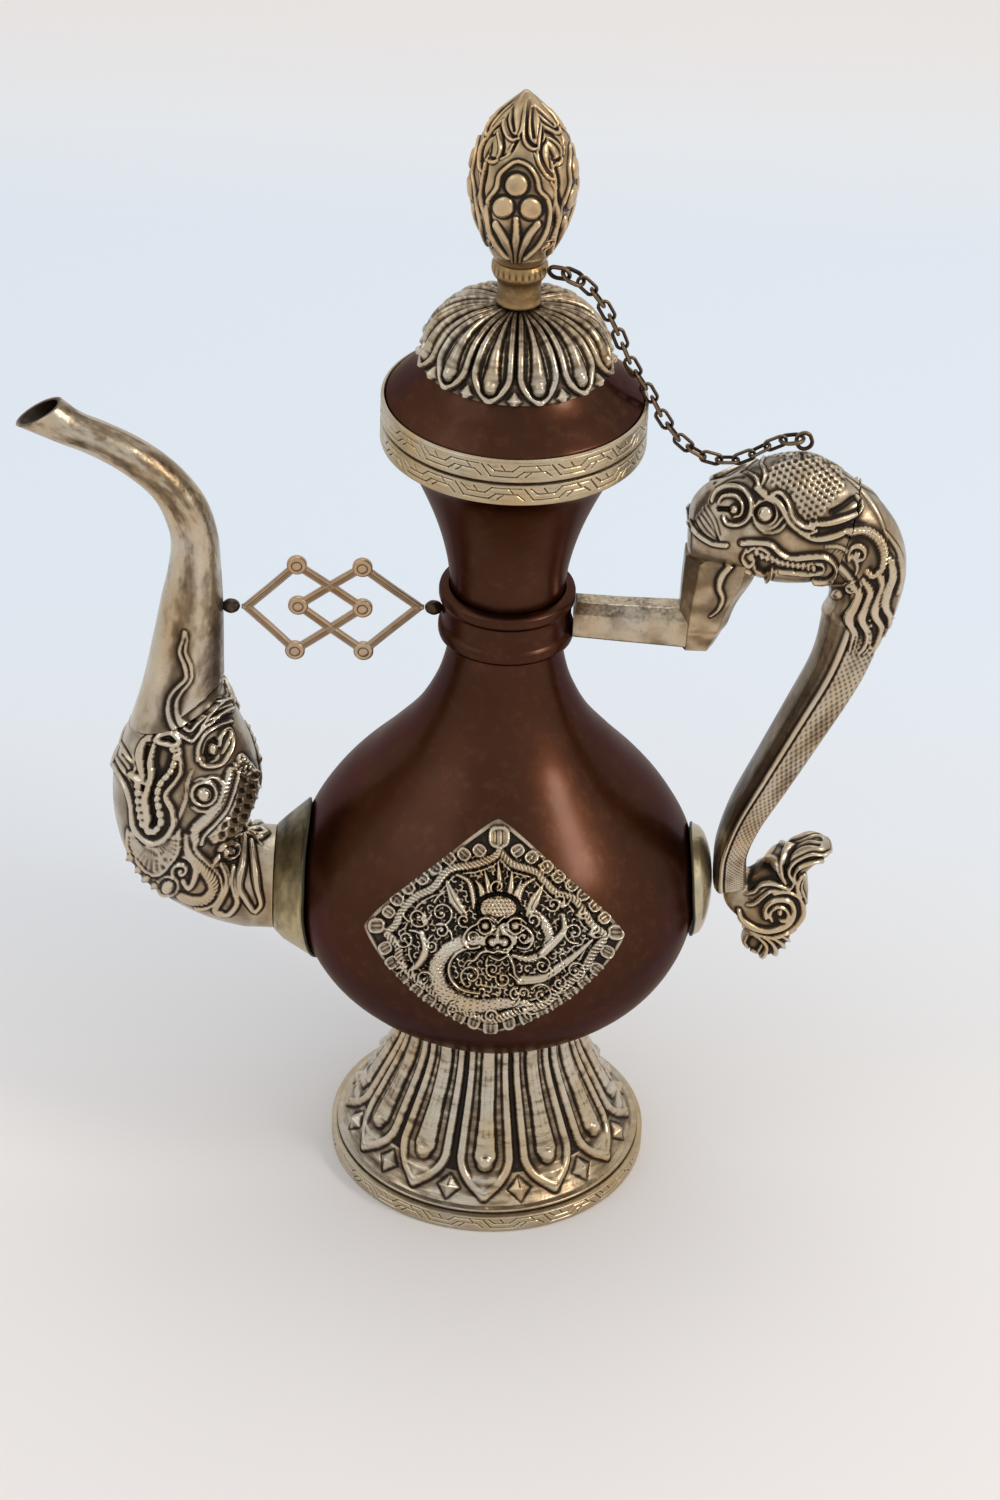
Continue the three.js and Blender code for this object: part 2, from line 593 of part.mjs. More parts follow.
function buildHandle() {
  const arm = ringSolid([[14, 6.7, ARM_Z], [30, 6.2, ARM_Z + 0.1], [45.4, 5.9, ARM_Z + 0.3]]
    .map(([x, half, z]) => chamferedRing([[x, z + half], [x, z - half], half])));
  const collarClear = cylinderAlongZ(COLLAR_RADIUS + 1 + GAP, 150, 210, ROUND_SIDES);
  add('handle_arm', cut(arm, collarClear), silver);

  const column = [
    [[55, 170.8], [46.6, 170.8], 5.2], [[56.4, 172.4], [45.8, 172.4], 6.4], [[58.6, 179], [45.8, 179], 6.6],
    [[60.8, 185.5], [45.9, 185.5], 6.9], [[64.6, 193], [46.1, 193], 7.4], [[66.4, 198.6], [46.5, 198.6], 7.8],
  ];
  add('handle_column', ringSolid(column.map(chamferedRing)), silver);

  const eyes = mirrored(button(vec(65, 9.2, 216), 3.6, vec(-0.1, 1, 0.25)));
  const nostrils = mirrored(button(vec(56.6, 8, 216.8), 3.4, vec(-0.3, 1, 0.3)));
  const brows = mirrored(horn([vec(61, 7.2, 222.5), vec(67, 8.6, 221.5), vec(73, 10.4, 215), vec(84, 9.6, 215),
    vec(89.5, 8.6, 218)], [1, 1.7, 0.8], 8));
  const jaws = mirrored(horn([vec(56, 8, 204.5), vec(63, 9.6, 207), vec(71, 10.6, 206.4), vec(80, 10.4, 205.6),
    vec(82.5, 9.8, 201)], [0.9, 1.5, 1.1], 8));
  const snouts = mirrored(horn([vec(49, 3, 217), vec(49.5, 6, 212), vec(53.5, 7.8, 206)], [1.5, 1.7, 0.8]));
  const head = ringSolid(HANDLE_HEAD_STATIONS.map((station) => railRing(station, 16)));
  add('handle_head', joined([head, ...eyes, ...nostrils, ...brows, ...jaws, ...snouts]), silver);

  const grip = GRIP_STATIONS.map((station, i) => gripRing(station, THREE.MathUtils.lerp(3, 0.8, i / 12)));
  add('handle_grip', ringSolid(grip), silver);

  const tail = new THREE.Shape(smooth([...TAIL_OUTLINE, TAIL_OUTLINE[0]], 34).slice(0, -1));
  const bevel = { bevelEnabled: true, bevelThickness: 1.5, bevelSize: 1.2, bevelOffset: -1.2, bevelSegments: 1 };
  add('handle_tail', fromManifold(toManifold(upright(tail, TAIL_THICK - 2 * bevel.bevelThickness, bevel))), silver);

  const sides = 24;
  const boss = [
    ...[2, 9, BOSS_RADIUS].map((r) => ringOnSide(1, BOSS_Z, r, SKIN_CLEAR, sides)),
    ...[BOSS_RADIUS, 10, 3].map((r) => {
      const edge = SKIN_CLEAR + 0.6;
      const dome = BOSS_APEX - bellyRadius(BOSS_Z) - edge;
      return ringOnSide(1, BOSS_Z, r, edge + dome * (1 - (r / BOSS_RADIUS) ** 2), sides);
    }),
  ];
  add('handle_boss', ringSolid(boss), silver);
}

function buildLid() {
  const r = MOUTH_RADIUS;
  const band = [[r - 0.9, LID_SEAT], [r, LID_SEAT], [r, LID_BAND_TOP - 0.6], [r - 0.5, LID_BAND_TOP],
    [r - 0.9, LID_BAND_TOP]];
  add('lid_band', turned(flat(band), BAND_SIDES), silver);
  const bottom = LID_SEAT - SLEEVE_DEPTH;
  const skirt = LID_SEAT + 1.3 + GAP;
  const sleeve = [[SLEEVE_RADIUS - 1.1, bottom], [SLEEVE_RADIUS, bottom], [SLEEVE_RADIUS, LID_SEAT],
    [33.3, LID_SEAT], [33.3, skirt - GAP], [SLEEVE_RADIUS - 1.1, skirt - GAP]];
  add('lid_sleeve', turned(flat(sleeve)), copper);
  const outer = smooth(DOME_OUTLINE, 9);
  const inner = offset(smooth(DOME_OUTLINE, 4), -1.2);
  const crown = DOME_OUTLINE.at(-1)[1];
  const dome = [...flat([[33.4, skirt]]), ...outer, ...flat([[FINIAL_HOLE, crown], [FINIAL_HOLE, crown - 1.2]]),
    ...inner.reverse(), ...flat([[32.2, skirt]])];
  add('lid_dome', turned(dome), copper);

  const under = offset(flat(DOME_OUTLINE.slice(4)), GAP + 0.15);
  const over = offset(smooth(DOME_OUTLINE.slice(4), 7), GAP + 1.1).reverse();
  const start = -Math.PI / 2 + Math.PI / PETALS;
  const rings = [lotusCircle(FINIAL_HOLE, crown + 2.5, start), ...lotusRings(over, 0.9, start),
    ...under.map((p) => lotusCircle(p.x, p.y, start)),
    lotusCircle(FINIAL_HOLE, crown + GAP + 0.15, start)];
  add('lid_petal_cap', ringSolid(rings, true), silver);
}

function buildFinial() {
  const stem = [[FINIAL_HOLE, 271.8], [7.2, 271.8], [5.8, 275], [6, 278.6], [7.5, 280.6], [7.5, 282.8], [6.6, 284],
    [FINIAL_HOLE, 284]];
  add('finial_stem', turned(flat(stem), 24), gilt);
  const seat = FLAME_OUTLINE[0][1];
  const socketTop = seat + 11.6;
  const socket = flat([[FINIAL_HOLE, socketTop], [FINIAL_HOLE, seat]]);
  add('finial_flame', turned([...socket, ...smooth(FLAME_OUTLINE, 11)], 20, false), silver);
  add('finial_rod', cylinderAlongZ(FINIAL_HOLE - GAP, 262.6, socketTop - 0.5, 12), bronze);
  const nut = [[FINIAL_HOLE, 263.8], [4.6, 263.8], [4.6, 266.4], [FINIAL_HOLE, 266.4]];
  add('finial_nut', turned(flat(nut), 6), bronze);
}

// Chain: its curve runs from the finial's ring to the handle's ring in one upright plane.
const CHAIN_START = vec(11.6, -4.4, 282.4);
const CHAIN_END = vec(74.6, 3, 233.2);
const FINIAL_EYE_FOOT = vec(8.2, -3.1, 282);
const FINIAL_EYE_TIP = vec(11.85, -4.5, 282.25);
const HANDLE_EYE_TOP = vec(75.1, 3.05, 233.9);
const HANDLE_EYE_FOOT = vec(76.2, 3.2, 230.9);
const CHAIN_ROUTE = [
  [CHAIN_START.x, CHAIN_START.z], [15.8, 280.2], [20.6, 274.6], [24.8, 266.8], [29.2, 256.4], [34.6, 247.4],
  [38.6, 239.8], [44.4, 232.2], [51.4, 227.8], [58.6, 227.2], [64.8, 230.4], [70, 232.8], [CHAIN_END.x, CHAIN_END.z],
];

function chainPivots() {
  const plane = (CHAIN_END.y - CHAIN_START.y) / (CHAIN_END.x - CHAIN_START.x);
  const route = CHAIN_ROUTE.map(([x, z]) => vec(x, CHAIN_START.y + (x - CHAIN_START.x) * plane, z));
  return new THREE.CatmullRomCurve3(route).getSpacedPoints(LINK_COUNT + 2);
}

// An oval link of round wire between two pivots, turned about its own length.
function link(from, to, roll, halfWidth, wire) {
  const half = from.distanceTo(to) / 2 + wire + LINK_PLAY;
  const straight = half - halfWidth;
  const stations = 10;
  const sides = 5;
  const rings = [];
  for (let i = 0; i < stations; i++) {
    const end = i < stations / 2 ? 1 : -1;
    const angle = (i % (stations / 2)) / (stations / 2 - 1) * Math.PI - Math.PI / 2;
    const [x, y] = [end * (straight + halfWidth * Math.cos(angle)), end * halfWidth * Math.sin(angle)];
    const outward = vec(end * Math.cos(angle), end * Math.sin(angle), 0);
    rings.push(Array.from({ length: sides }, (_, j) => {
      const turn = j * 2 * Math.PI / sides;
      return vec(x, y, 0).addScaledVector(outward, wire * Math.cos(turn)).add(vec(0, 0, wire * Math.sin(turn)));
    }));
  }
  const geometry = ringSolid(rings, true);
  geometry.rotateX(roll);
  const aim = new THREE.Matrix4();
  const along = to.clone().sub(from).normalize();
  const side = vec(0, 0, 1).cross(along).normalize();
  aim.makeBasis(along, side, along.clone().cross(side));
  geometry.applyMatrix4(aim);
  const middle = from.clone().add(to).multiplyScalar(0.5);
  return geometry.translate(middle.x, middle.y, middle.z);
}

// Neighbouring links lie square to each other, flat and upright by turns.
function rollOf(place) {
  return (place % 2) * Math.PI / 2;
}

function buildChain() {
  const pivots = chainPivots();
  const last = pivots.length - 2;
  const eyeRoll = RING_TILT + Math.PI / 2;
  add('finial_eye', link(FINIAL_EYE_FOOT, FINIAL_EYE_TIP, eyeRoll, EYE_HALF_WIDTH, RING_WIRE), bronze);
  add('finial_ring', link(pivots[0], pivots[1], RING_TILT, RING_HALF_WIDTH, RING_WIRE), bronze);
  for (let i = 1; i < last; i++) {
    const name = `chain_link_${String(i).padStart(2, '0')}`;
    add(name, link(pivots[i], pivots[i + 1], rollOf(i), LINK_HALF_WIDTH, LINK_WIRE), bronze);
  }
  add('handle_ring', link(pivots[last], pivots[last + 1], rollOf(last), RING_HALF_WIDTH, RING_WIRE), bronze);
  add('handle_eye', link(HANDLE_EYE_TOP, HANDLE_EYE_FOOT, Math.PI / 2, EYE_HALF_WIDTH, RING_WIRE), bronze);
}

buildFoot();
buildBody();
buildPlaques();
buildSpout();
buildStrut();
buildHandle();
buildLid();
buildFinial();
buildChain();

export default ewer;
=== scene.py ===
import math

import bpy
import numpy as np
from mathutils import Matrix, Vector
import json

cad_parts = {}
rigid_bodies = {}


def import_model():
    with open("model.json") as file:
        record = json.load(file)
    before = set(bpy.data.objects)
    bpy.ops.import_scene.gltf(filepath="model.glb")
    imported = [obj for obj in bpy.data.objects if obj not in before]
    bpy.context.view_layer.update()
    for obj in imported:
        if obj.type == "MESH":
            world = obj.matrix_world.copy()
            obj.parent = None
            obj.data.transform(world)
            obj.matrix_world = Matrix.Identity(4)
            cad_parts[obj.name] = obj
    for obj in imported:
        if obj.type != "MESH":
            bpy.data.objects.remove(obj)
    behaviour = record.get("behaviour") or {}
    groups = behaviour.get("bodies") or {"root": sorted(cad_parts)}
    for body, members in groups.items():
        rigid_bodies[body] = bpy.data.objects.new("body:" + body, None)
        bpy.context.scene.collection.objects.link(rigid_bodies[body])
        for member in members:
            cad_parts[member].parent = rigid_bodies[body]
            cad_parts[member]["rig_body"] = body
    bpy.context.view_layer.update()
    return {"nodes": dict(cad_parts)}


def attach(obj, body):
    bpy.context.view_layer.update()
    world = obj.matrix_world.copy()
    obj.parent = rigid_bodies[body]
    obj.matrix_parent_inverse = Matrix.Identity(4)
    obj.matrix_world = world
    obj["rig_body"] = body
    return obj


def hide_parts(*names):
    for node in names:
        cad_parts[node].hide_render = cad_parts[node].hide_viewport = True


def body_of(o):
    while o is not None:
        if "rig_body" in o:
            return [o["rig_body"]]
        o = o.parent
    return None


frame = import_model()

MM = 0.001
TAU = 2 * math.pi
PETALS = 12
PLAIN_MARK, HIDDEN_MARK = 0.5, 0.35
LINK_STEPS, WIRE_SIDES = 56, 16

# Camera of the photograph, in millimetres
CAMERA_X = np.array([0.99926, 0.02158, 0.03175])
CAMERA_Y = np.array([-0.03839, 0.56167, 0.82647])
CAMERA_Z = np.array([0.0, -0.82708, 0.56208])
EYE = np.array([-0.325, -925.12, 762.5])
FOCAL_PIXELS = 4100.0
FRAME_WIDTH, FRAME_HEIGHT = 1000, 1500
PIXELS_PER_MM = 3.724


def make_camera():
    data = bpy.data.cameras.new("camera")
    data.sensor_width = 36
    data.lens = FOCAL_PIXELS / FRAME_HEIGHT * data.sensor_width
    data.clip_start, data.clip_end = 0.05, 50
    camera = bpy.data.objects.new("camera", data)
    bpy.context.scene.collection.objects.link(camera)
    place = EYE * MM
    rows = [[CAMERA_X[i], CAMERA_Y[i], CAMERA_Z[i], place[i]] for i in range(3)]
    camera.matrix_world = Matrix(rows + [[0, 0, 0, 1]])
    bpy.context.scene.camera = camera


def to_drawing(points):
    """Where points in mm fall in the photograph's frame, in its pixels."""
    away = points - EYE
    depth = -(away @ CAMERA_Z)
    u = FRAME_WIDTH / 2 + FOCAL_PIXELS * (away @ CAMERA_X) / depth
    v = FRAME_HEIGHT / 2 - FOCAL_PIXELS * (away @ CAMERA_Y) / depth
    return np.stack([u, v], -1)


make_camera()


# Curves and surfaces

def spline(points, count, closed=False):
    """A smooth curve through the points, as count points."""
    p = np.asarray(points, float)
    n = len(p)
    if closed:
        t = np.linspace(0, n, count, endpoint=False)
        index = np.floor(t).astype(int)
        knots = [p[(index + k) % n] for k in (-1, 0, 1, 2)]
    else:
        t = np.linspace(0, n - 1, count)
        index = np.minimum(np.floor(t).astype(int), n - 2)
        knots = [p[np.clip(index + k, 0, n - 1)] for k in (-1, 0, 1, 2)]
    f = (t - index).reshape((-1,) + (1,) * (p.ndim - 1))
    a, b, c, d = knots
    square, cube = 2 * a - 5 * b + 4 * c - d, 3 * b - a - 3 * c + d
    return 0.5 * (2 * b + (c - a) * f + square * f ** 2 + cube * f ** 3)


def even(points, count):
    """The same curve with its points evenly spaced."""
    fine = spline(points, 40 * len(points))
    run = np.concatenate([[0], np.cumsum(np.linalg.norm(np.diff(fine, axis=0), axis=1))])
    at = np.linspace(0, run[-1], count)
    return np.stack([np.interp(at, run, fine[:, k]) for k in range(fine.shape[1])], 1)


def blurred(h, rounds, wrap):
    for _ in range(rounds):
        for axis in (0, 1):
            low, high = np.roll(h, 1, axis), np.roll(h, -1, axis)
            if not wrap[axis]:
                first = [slice(None)] * 2
                last = [slice(None)] * 2
                first[axis], last[axis] = 0, -1
                low[tuple(first)] = h[tuple(first)]
                high[tuple(last)] = h[tuple(last)]
            h = (low + h + high) / 3
    return h


def soft(h, size, wrap):
    """A smooth blur of the given size in cells."""
    reach = int(3 * size)
    taps = np.exp(-0.5 * (np.arange(-reach, reach + 1) / size) ** 2)
    taps /= taps.sum()
    for axis in (0, 1):
        count = h.shape[axis]
        pad = [(0, 0), (0, 0)]
        pad[axis] = (reach, reach)
        wide = np.pad(h, pad, mode="wrap" if wrap[axis] else "edge")
        h = sum(weight * wide.take(range(k, k + count), axis) for k, weight in enumerate(taps))
    return h


def patina(lift, wrap, plain=0.6, gain=1.0, fine=2.5, wide=8.0, broad=1.15):
    """From 0 in crevices to 1 on what is rubbed: dark gathers at the foot of what stands proud."""
    near = lift - soft(lift, fine, wrap)
    far = lift - soft(lift, wide, wrap)
    dark = 2.6 * np.minimum(near, 0) + broad * np.minimum(far, 0)
    light = 0.5 * np.maximum(near, 0) + 0.32 * np.maximum(far, 0)
    return np.clip(plain + gain * (dark + light), 0, 1)


def normals(p, wrap):
    du = np.roll(p, -1, 0) - np.roll(p, 1, 0)
    dv = np.roll(p, -1, 1) - np.roll(p, 1, 1)
    if not wrap[0]:
        du[0], du[-1] = p[1] - p[0], p[-1] - p[-2]
    if not wrap[1]:
        dv[:, 0], dv[:, -1] = p[:, 1] - p[:, 0], p[:, -1] - p[:, -2]
    n = np.cross(du, dv)
    return n / np.maximum(np.linalg.norm(n, axis=-1, keepdims=True), 1e-9)


def build_mesh(name, verts, quads, tris, marks, material, body, replaced):
    """One piece from its faces, with its marks kept as attributes for the material."""
    faces = len(quads) + len(tris)
    mesh = bpy.data.meshes.new(name)
    mesh.vertices.add(len(verts))
    mesh.vertices.foreach_set("co", (verts * MM).astype(np.float32).ravel())
    loops = np.concatenate([np.asarray(quads, int).ravel(),
                            np.asarray(tris, int).ravel()]).astype(np.int32)
    mesh.loops.add(len(loops))
    mesh.loops.foreach_set("vertex_index", loops)
    mesh.polygons.add(faces)
    sizes = np.concatenate([np.full(len(quads), 4), np.full(len(tris), 3)]).astype(np.int32)
    mesh.polygons.foreach_set("loop_start",
                              np.concatenate([[0], np.cumsum(sizes)[:-1]]).astype(np.int32))
    mesh.polygons.foreach_set("use_smooth", np.full(faces, True))
    for key, values in marks.items():
        layer = mesh.attributes.new(key, "FLOAT", "POINT")
        layer.data.foreach_set("value", values.astype(np.float32).ravel())
    mesh.update(calc_edges=True)
    mesh.materials.append(material)
    piece = bpy.data.objects.new(name, mesh)
    bpy.context.scene.collection.objects.link(piece)
    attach(piece, body)
    if replaced:
        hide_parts(*replaced)
    return piece


def volume(verts, quads, tris):
    total = 0
    for face in (quads, tris):
        if len(face):
            f = np.asarray(face)
            for k in range(2, f.shape[1]):
                total += np.einsum("ij,ij->", verts[f[:, 0]], np.cross(verts[f[:, k - 1]],
                        verts[f[:, k]]))
    return total


def skin(name, p, material, body, replaced=(), patina_and_painted_light=None, wrap=(False, True)):
    """A closed piece from a grid of points: rows along it, columns round it."""
    rows, cols = p.shape[:2]
    ids = np.arange(rows * cols).reshape(rows, cols)
    last_row = rows if wrap[0] else rows - 1
    last_col = cols if wrap[1] else cols - 1
    a = ids[:last_row][:, :last_col]
    b = np.roll(ids, -1, 0)[:last_row][:, :last_col]
    c = np.roll(np.roll(ids, -1, 0), -1, 1)[:last_row][:, :last_col]
    d = np.roll(ids, -1, 1)[:last_row][:, :last_col]
    quads = np.stack([a, b, c, d], -1).reshape(-1, 4)
    verts = p.reshape(-1, 3)
    tris = np.zeros((0, 3), int)
    depth = np.full(rows * cols, 0.6) if patina_and_painted_light is None else patina_and_painted_light.reshape(-1)
    if not wrap[0]:
        ends = []
        for k, (row, turn) in enumerate(((ids[0], 1), (ids[-1], -1))):
            pair = np.stack([row, np.roll(row, -1), np.full(cols, rows * cols + k)], -1)
            ends.append(pair[:, ::turn])
        verts = np.concatenate([verts, [p[0].mean(0), p[-1].mean(0)]])
        depth = np.concatenate([depth, [depth[0], depth[-1]]])
        tris = np.concatenate(ends)
    if volume(verts - verts.mean(0), quads, tris) < 0:
        quads, tris = quads[:, ::-1], tris[:, ::-1]
    return build_mesh(name, verts, quads, tris, {"patina_and_painted_light": depth}, material, body, replaced)


# Relief: heights in mm over a drawing whose coordinates are also in mm

class Relief:
    def __init__(self, x, y):
        self.x, self.y = x, y
        self.h = np.zeros_like(x)

    def distance(self, path, reach):
        """Near a path: the distance to it, how far along it the nearest point lies, and on which side."""
        p = np.asarray(path, float)
        low, high = p.min(0) - reach, p.max(0) + reach
        near = (self.x > low[0]) & (self.x < high[0]) & (self.y > low[1]) & (self.y < high[1])
        x, y = self.x[near], self.y[near]
        best = np.full(x.shape, 1e9)
        along = np.zeros(x.shape)
        side = np.zeros(x.shape)
        start = 0.0
        for (ax, ay), (bx, by) in zip(p[:-1], p[1:]):
            length = math.hypot(bx - ax, by - ay) or 1e-9
            ux, uy = (bx - ax) / length, (by - ay) / length
            t = np.clip((x - ax) * ux + (y - ay) * uy, 0, length)
            dx, dy = x - ax - t * ux, y - ay - t * uy
            d = np.hypot(dx, dy)
            closer = d < best
            best[closer] = d[closer]
            along[closer] = start + t[closer]
            side[closer] = np.sign(dx * uy - dy * ux)[closer]
            start += length
        return near, best, along, side, start

    def ridge(self, path, width, height, taper=(1, 1), rope=0, flat=2.0, line=0.0, count=None):
        """A raised line.

        taper scales the width at its ends, rope cuts it across, line cuts a groove down it.
        """
        curve = spline(path, count or 8 * len(path)) if len(path) > 2 else np.asarray(path, float)
        near, d, along, side, total = self.distance(curve, width)
        f = along / total
        first, last = taper[0] + (1 - taper[0]) * 2 * f, taper[1] + (1 - taper[1]) * 2 * (1 - f)
        swell = np.where(f < 0.5, first, last)
        half = np.maximum(width / 2 * swell, 1e-3)
        r = np.clip(d / half, 0, 1)
        rise = height * (1 - r ** flat) * np.minimum(1, 0.45 + swell * 0.55)
        if rope:
            rise = rise * (0.72 + 0.28 * np.cos(TAU * (along / rope + 0.55 * side * d / rope)))
        if line:
            rise = rise - line * np.exp(-(d / (0.16 * half + 0.05)) ** 2)
        here = self.h[near]
        inside = d < half
        here[inside] = np.maximum(here[inside], rise[inside])
        edge = (d >= half) & (d < half + 0.35)
        here[edge] -= 0.35 * height * (1 - (d[edge] - half[edge]) / 0.35)
        self.h[near] = here

    def groove(self, path, width, depth, count=None):
        curve = spline(path, count or 8 * len(path)) if len(path) > 2 else np.asarray(path, float)
        near, d, _, _, _ = self.distance(curve, width)
        self.h[near] -= depth * np.exp(-(d / (width / 2)) ** 2 * 1.4)

    def dome(self, x, y, radius, height, ring=0.0, squash=1.0):
        """A round boss, with a raised ring round it."""
        d = np.hypot(self.x - x, (self.y - y) / squash)
        r = d / radius
        cap = height * np.sqrt(np.clip(1 - r ** 2, 0, 1))
        moat = (r >= 1) & (r < 1.25)
        self.h[moat] = np.minimum(self.h[moat], 0) - 0.25 * height
        self.h = np.where(r < 1, np.maximum(self.h, cap), self.h)
        if ring:
            band = np.abs(r - 1.45) / 0.2
            self.h = np.where(band < 1, np.maximum(self.h, ring * (1 - band ** 2)), self.h)

    def knob(self, x, y, radius, height):
        """A small pointed swelling on what is there already."""
        r = np.hypot(self.x - x, self.y - y) / radius
        self.h += height * np.clip(1 - r, 0, 1) ** 0.8

    def spiral(self, x, y, radius, turns, width, height, start=0.0, hand=1):
        steps = max(12, int(16 * turns))
        t = np.linspace(0, 1, steps)
        r = radius * (1 - 0.86 * t)
        angle = start + hand * TAU * turns * t
        self.ridge(np.stack([x + r * np.cos(angle), y + r * np.sin(angle)], 1), width, height,
                   taper=(1, 0.7), count=steps * 2)
        self.dome(x, y, radius * 0.16 + 0.15, height * 1.1)

    def inside(self, outline):
        """Which points lie in a closed outline."""
        p = np.asarray(outline, float)
        q = np.roll(p, -1, 0)
        result = np.zeros(self.x.shape, bool)
        for (ax, ay), (bx, by) in zip(p, q):
            if ay == by:
                continue
            level = (ay > self.y) != (by > self.y)
            result ^= level & (self.x < (bx - ax) * (self.y - ay) / (by - ay) + ax)
        return result

    def hollow(self, outline, level):
        """A flat recess in a closed outline."""
        self.h[self.inside(outline)] = level

    def net(self, where, pitch, height, angle=0.0):
        """A net of fine raised lines over small dark scales."""
        c, s = math.cos(angle), math.sin(angle)
        x = (self.x * c + self.y * s) / pitch
        y = (-self.x * s + self.y * c) / pitch
        row = np.floor(y)
        cell = x + 0.5 * (row % 2)
        fx, fy = cell - np.floor(cell) - 0.5, y - row
        arch = np.hypot(fx, (fy - 0.05) * 0.8)
        rim = np.exp(-((arch - 0.5) / 0.11) ** 2)
        scale = height * (rim - 0.25 * (arch > 0.58))
        self.h[where] = np.maximum(self.h, 0)[where] * 0.3 + scale[where]


# Materials

class Nodes:
    def __init__(self, name):
        self.material = bpy.data.materials.new(name)
        self.material.use_nodes = True
        self.tree = self.material.node_tree
        self.tree.nodes.clear()
        self.shader = self.tree.nodes.new("ShaderNodeBsdfPrincipled")
        out = self.tree.nodes.new("ShaderNodeOutputMaterial")
        self.join(self.shader.outputs[0], out.inputs[0])
        self.where = self.tree.nodes.new("ShaderNodeTexCoord").outputs["Object"]

    def join(self, a, b):
        self.tree.links.new(a, b)

    def noise(self, scale, detail=4.0, rough=0.55, stretch=None):
        node = self.tree.nodes.new("ShaderNodeTexNoise")
        node.inputs["Scale"].default_value = scale
        node.inputs["Detail"].default_value = detail
        node.inputs["Roughness"].default_value = rough
        source = self.where
        if stretch:
            shift = self.tree.nodes.new("ShaderNodeMapping")
            shift.inputs["Scale"].default_value = stretch
            self.join(self.where, shift.inputs[0])
            source = shift.outputs[0]
        self.join(source, node.inputs["Vector"])
        return node.outputs["Fac"]

    def attribute(self, name):
        node = self.tree.nodes.new("ShaderNodeAttribute")
        node.attribute_name = name
        return node.outputs["Fac"]

    def math(self, kind, a, b):
        node = self.tree.nodes.new("ShaderNodeMath")
        node.operation = kind
        for k, value in enumerate((a, b)):
            if isinstance(value, (int, float)):
                node.inputs[k].default_value = value
            else:
                self.join(value, node.inputs[k])
        return node.outputs[0]

    def ramp(self, source, stops):
        node = self.tree.nodes.new("ShaderNodeValToRGB")
        node.color_ramp.elements.remove(node.color_ramp.elements[0])
        node.color_ramp.elements[0].position = stops[0][0]
        node.color_ramp.elements[0].color = (*stops[0][1], 1)
        for place, colour in stops[1:]:
            node.color_ramp.elements.new(place).color = (*colour, 1)
        self.join(source, node.inputs[0])
        return node.outputs[0]

    def mix(self, factor, a, b, kind="MIX"):
        node = self.tree.nodes.new("ShaderNodeMix")
        node.data_type = "RGBA"
        node.blend_type = kind
        for key, value in ((0, factor), (6, a), (7, b)):
            if isinstance(value, (int, float)):
                node.inputs[key].default_value = value
            elif isinstance(value, tuple):
                node.inputs[key].default_value = (*value, 1)
            else:
                self.join(value, node.inputs[key])
        return node.outputs[2]

    def spread(self, source, low, high):
        node = self.tree.nodes.new("ShaderNodeMapRange")
        node.inputs["To Min"].default_value = low
        node.inputs["To Max"].default_value = high
        self.join(source, node.inputs["Value"])
        return node.outputs[0]

    def bump(self, height, strength, distance):
        node = self.tree.nodes.new("ShaderNodeBump")
        node.inputs["Strength"].default_value = strength
        node.inputs["Distance"].default_value = distance
        self.join(height, node.inputs["Height"])
        self.join(node.outputs[0], self.shader.inputs["Normal"])

    def colour(self, source):
        self.join(source, self.shader.inputs["Base Color"])

    def rough(self, source):
        self.join(source, self.shader.inputs["Roughness"])

    def metallic(self, value):
        if isinstance(value, float):
            self.shader.inputs["Metallic"].default_value = value
        else:
            self.join(value, self.shader.inputs["Metallic"])


def chased_metal(name, high, mid, low, dark, warm, gloss=0.27):
    """Worn metal: dark in its recesses, bright where it is rubbed, with warm tarnish in patches. The marks
    that it reads carry painted shade and painted reflections too.
    """
    n = Nodes(name)
    grime = n.spread(n.noise(scale=520, detail=5), low=-0.09, high=0.09)
    blotch = n.spread(n.noise(scale=90, detail=4, rough=0.6), low=-0.1, high=0.1)
    level = n.math("ADD", n.math("ADD", n.attribute("patina_and_painted_light"), grime), blotch)
    top = tuple(min(1, c * 1.22) for c in high)
    base = n.ramp(level, [(0.06, dark), (0.3, low), (0.5, mid), (0.66, high), (0.92, top)])
    patches = n.ramp(n.noise(scale=34, detail=3), [(0.38, (0, 0, 0)), (0.62, (1, 1, 1))])
    streaks = n.ramp(n.noise(scale=150, detail=4, rough=0.6, stretch=(1, 1, 0.25)),
                     [(0.45, (0, 0, 0)), (0.7, (1, 1, 1))])
    tinted = n.mix(n.math("MULTIPLY", patches, 0.8), base, n.mix(1.0, base, warm, "MULTIPLY"))
    spots = n.ramp(n.noise(scale=1300, detail=2, rough=0.5), [(0.66, (0, 0, 0)), (0.74, (1, 1, 1))])
    worn = n.mix(n.math("MULTIPLY", streaks, 0.4), tinted, n.mix(1.0, tinted, warm, "MULTIPLY"))
    n.colour(n.mix(n.math("MULTIPLY", spots, 0.45), worn, n.mix(1.0, worn, (0.35, 0.3, 0.25),
                                                                "MULTIPLY")))
    rub = n.math("SUBTRACT", 1.0, level)
    n.rough(n.spread(n.math("ADD", n.math("MULTIPLY", n.noise(scale=260, detail=4), 0.4),
                            n.math("MULTIPLY", rub, 0.6)), gloss - 0.12, gloss + 0.3))
    n.metallic(n.spread(level, low=0.7, high=1.0))
    n.bump(n.math("ADD", n.noise(scale=130, detail=3), n.math("MULTIPLY", n.noise(scale=900, detail=5),
                                                              0.12)), strength=0.28, distance=0.0016)
    return n.material


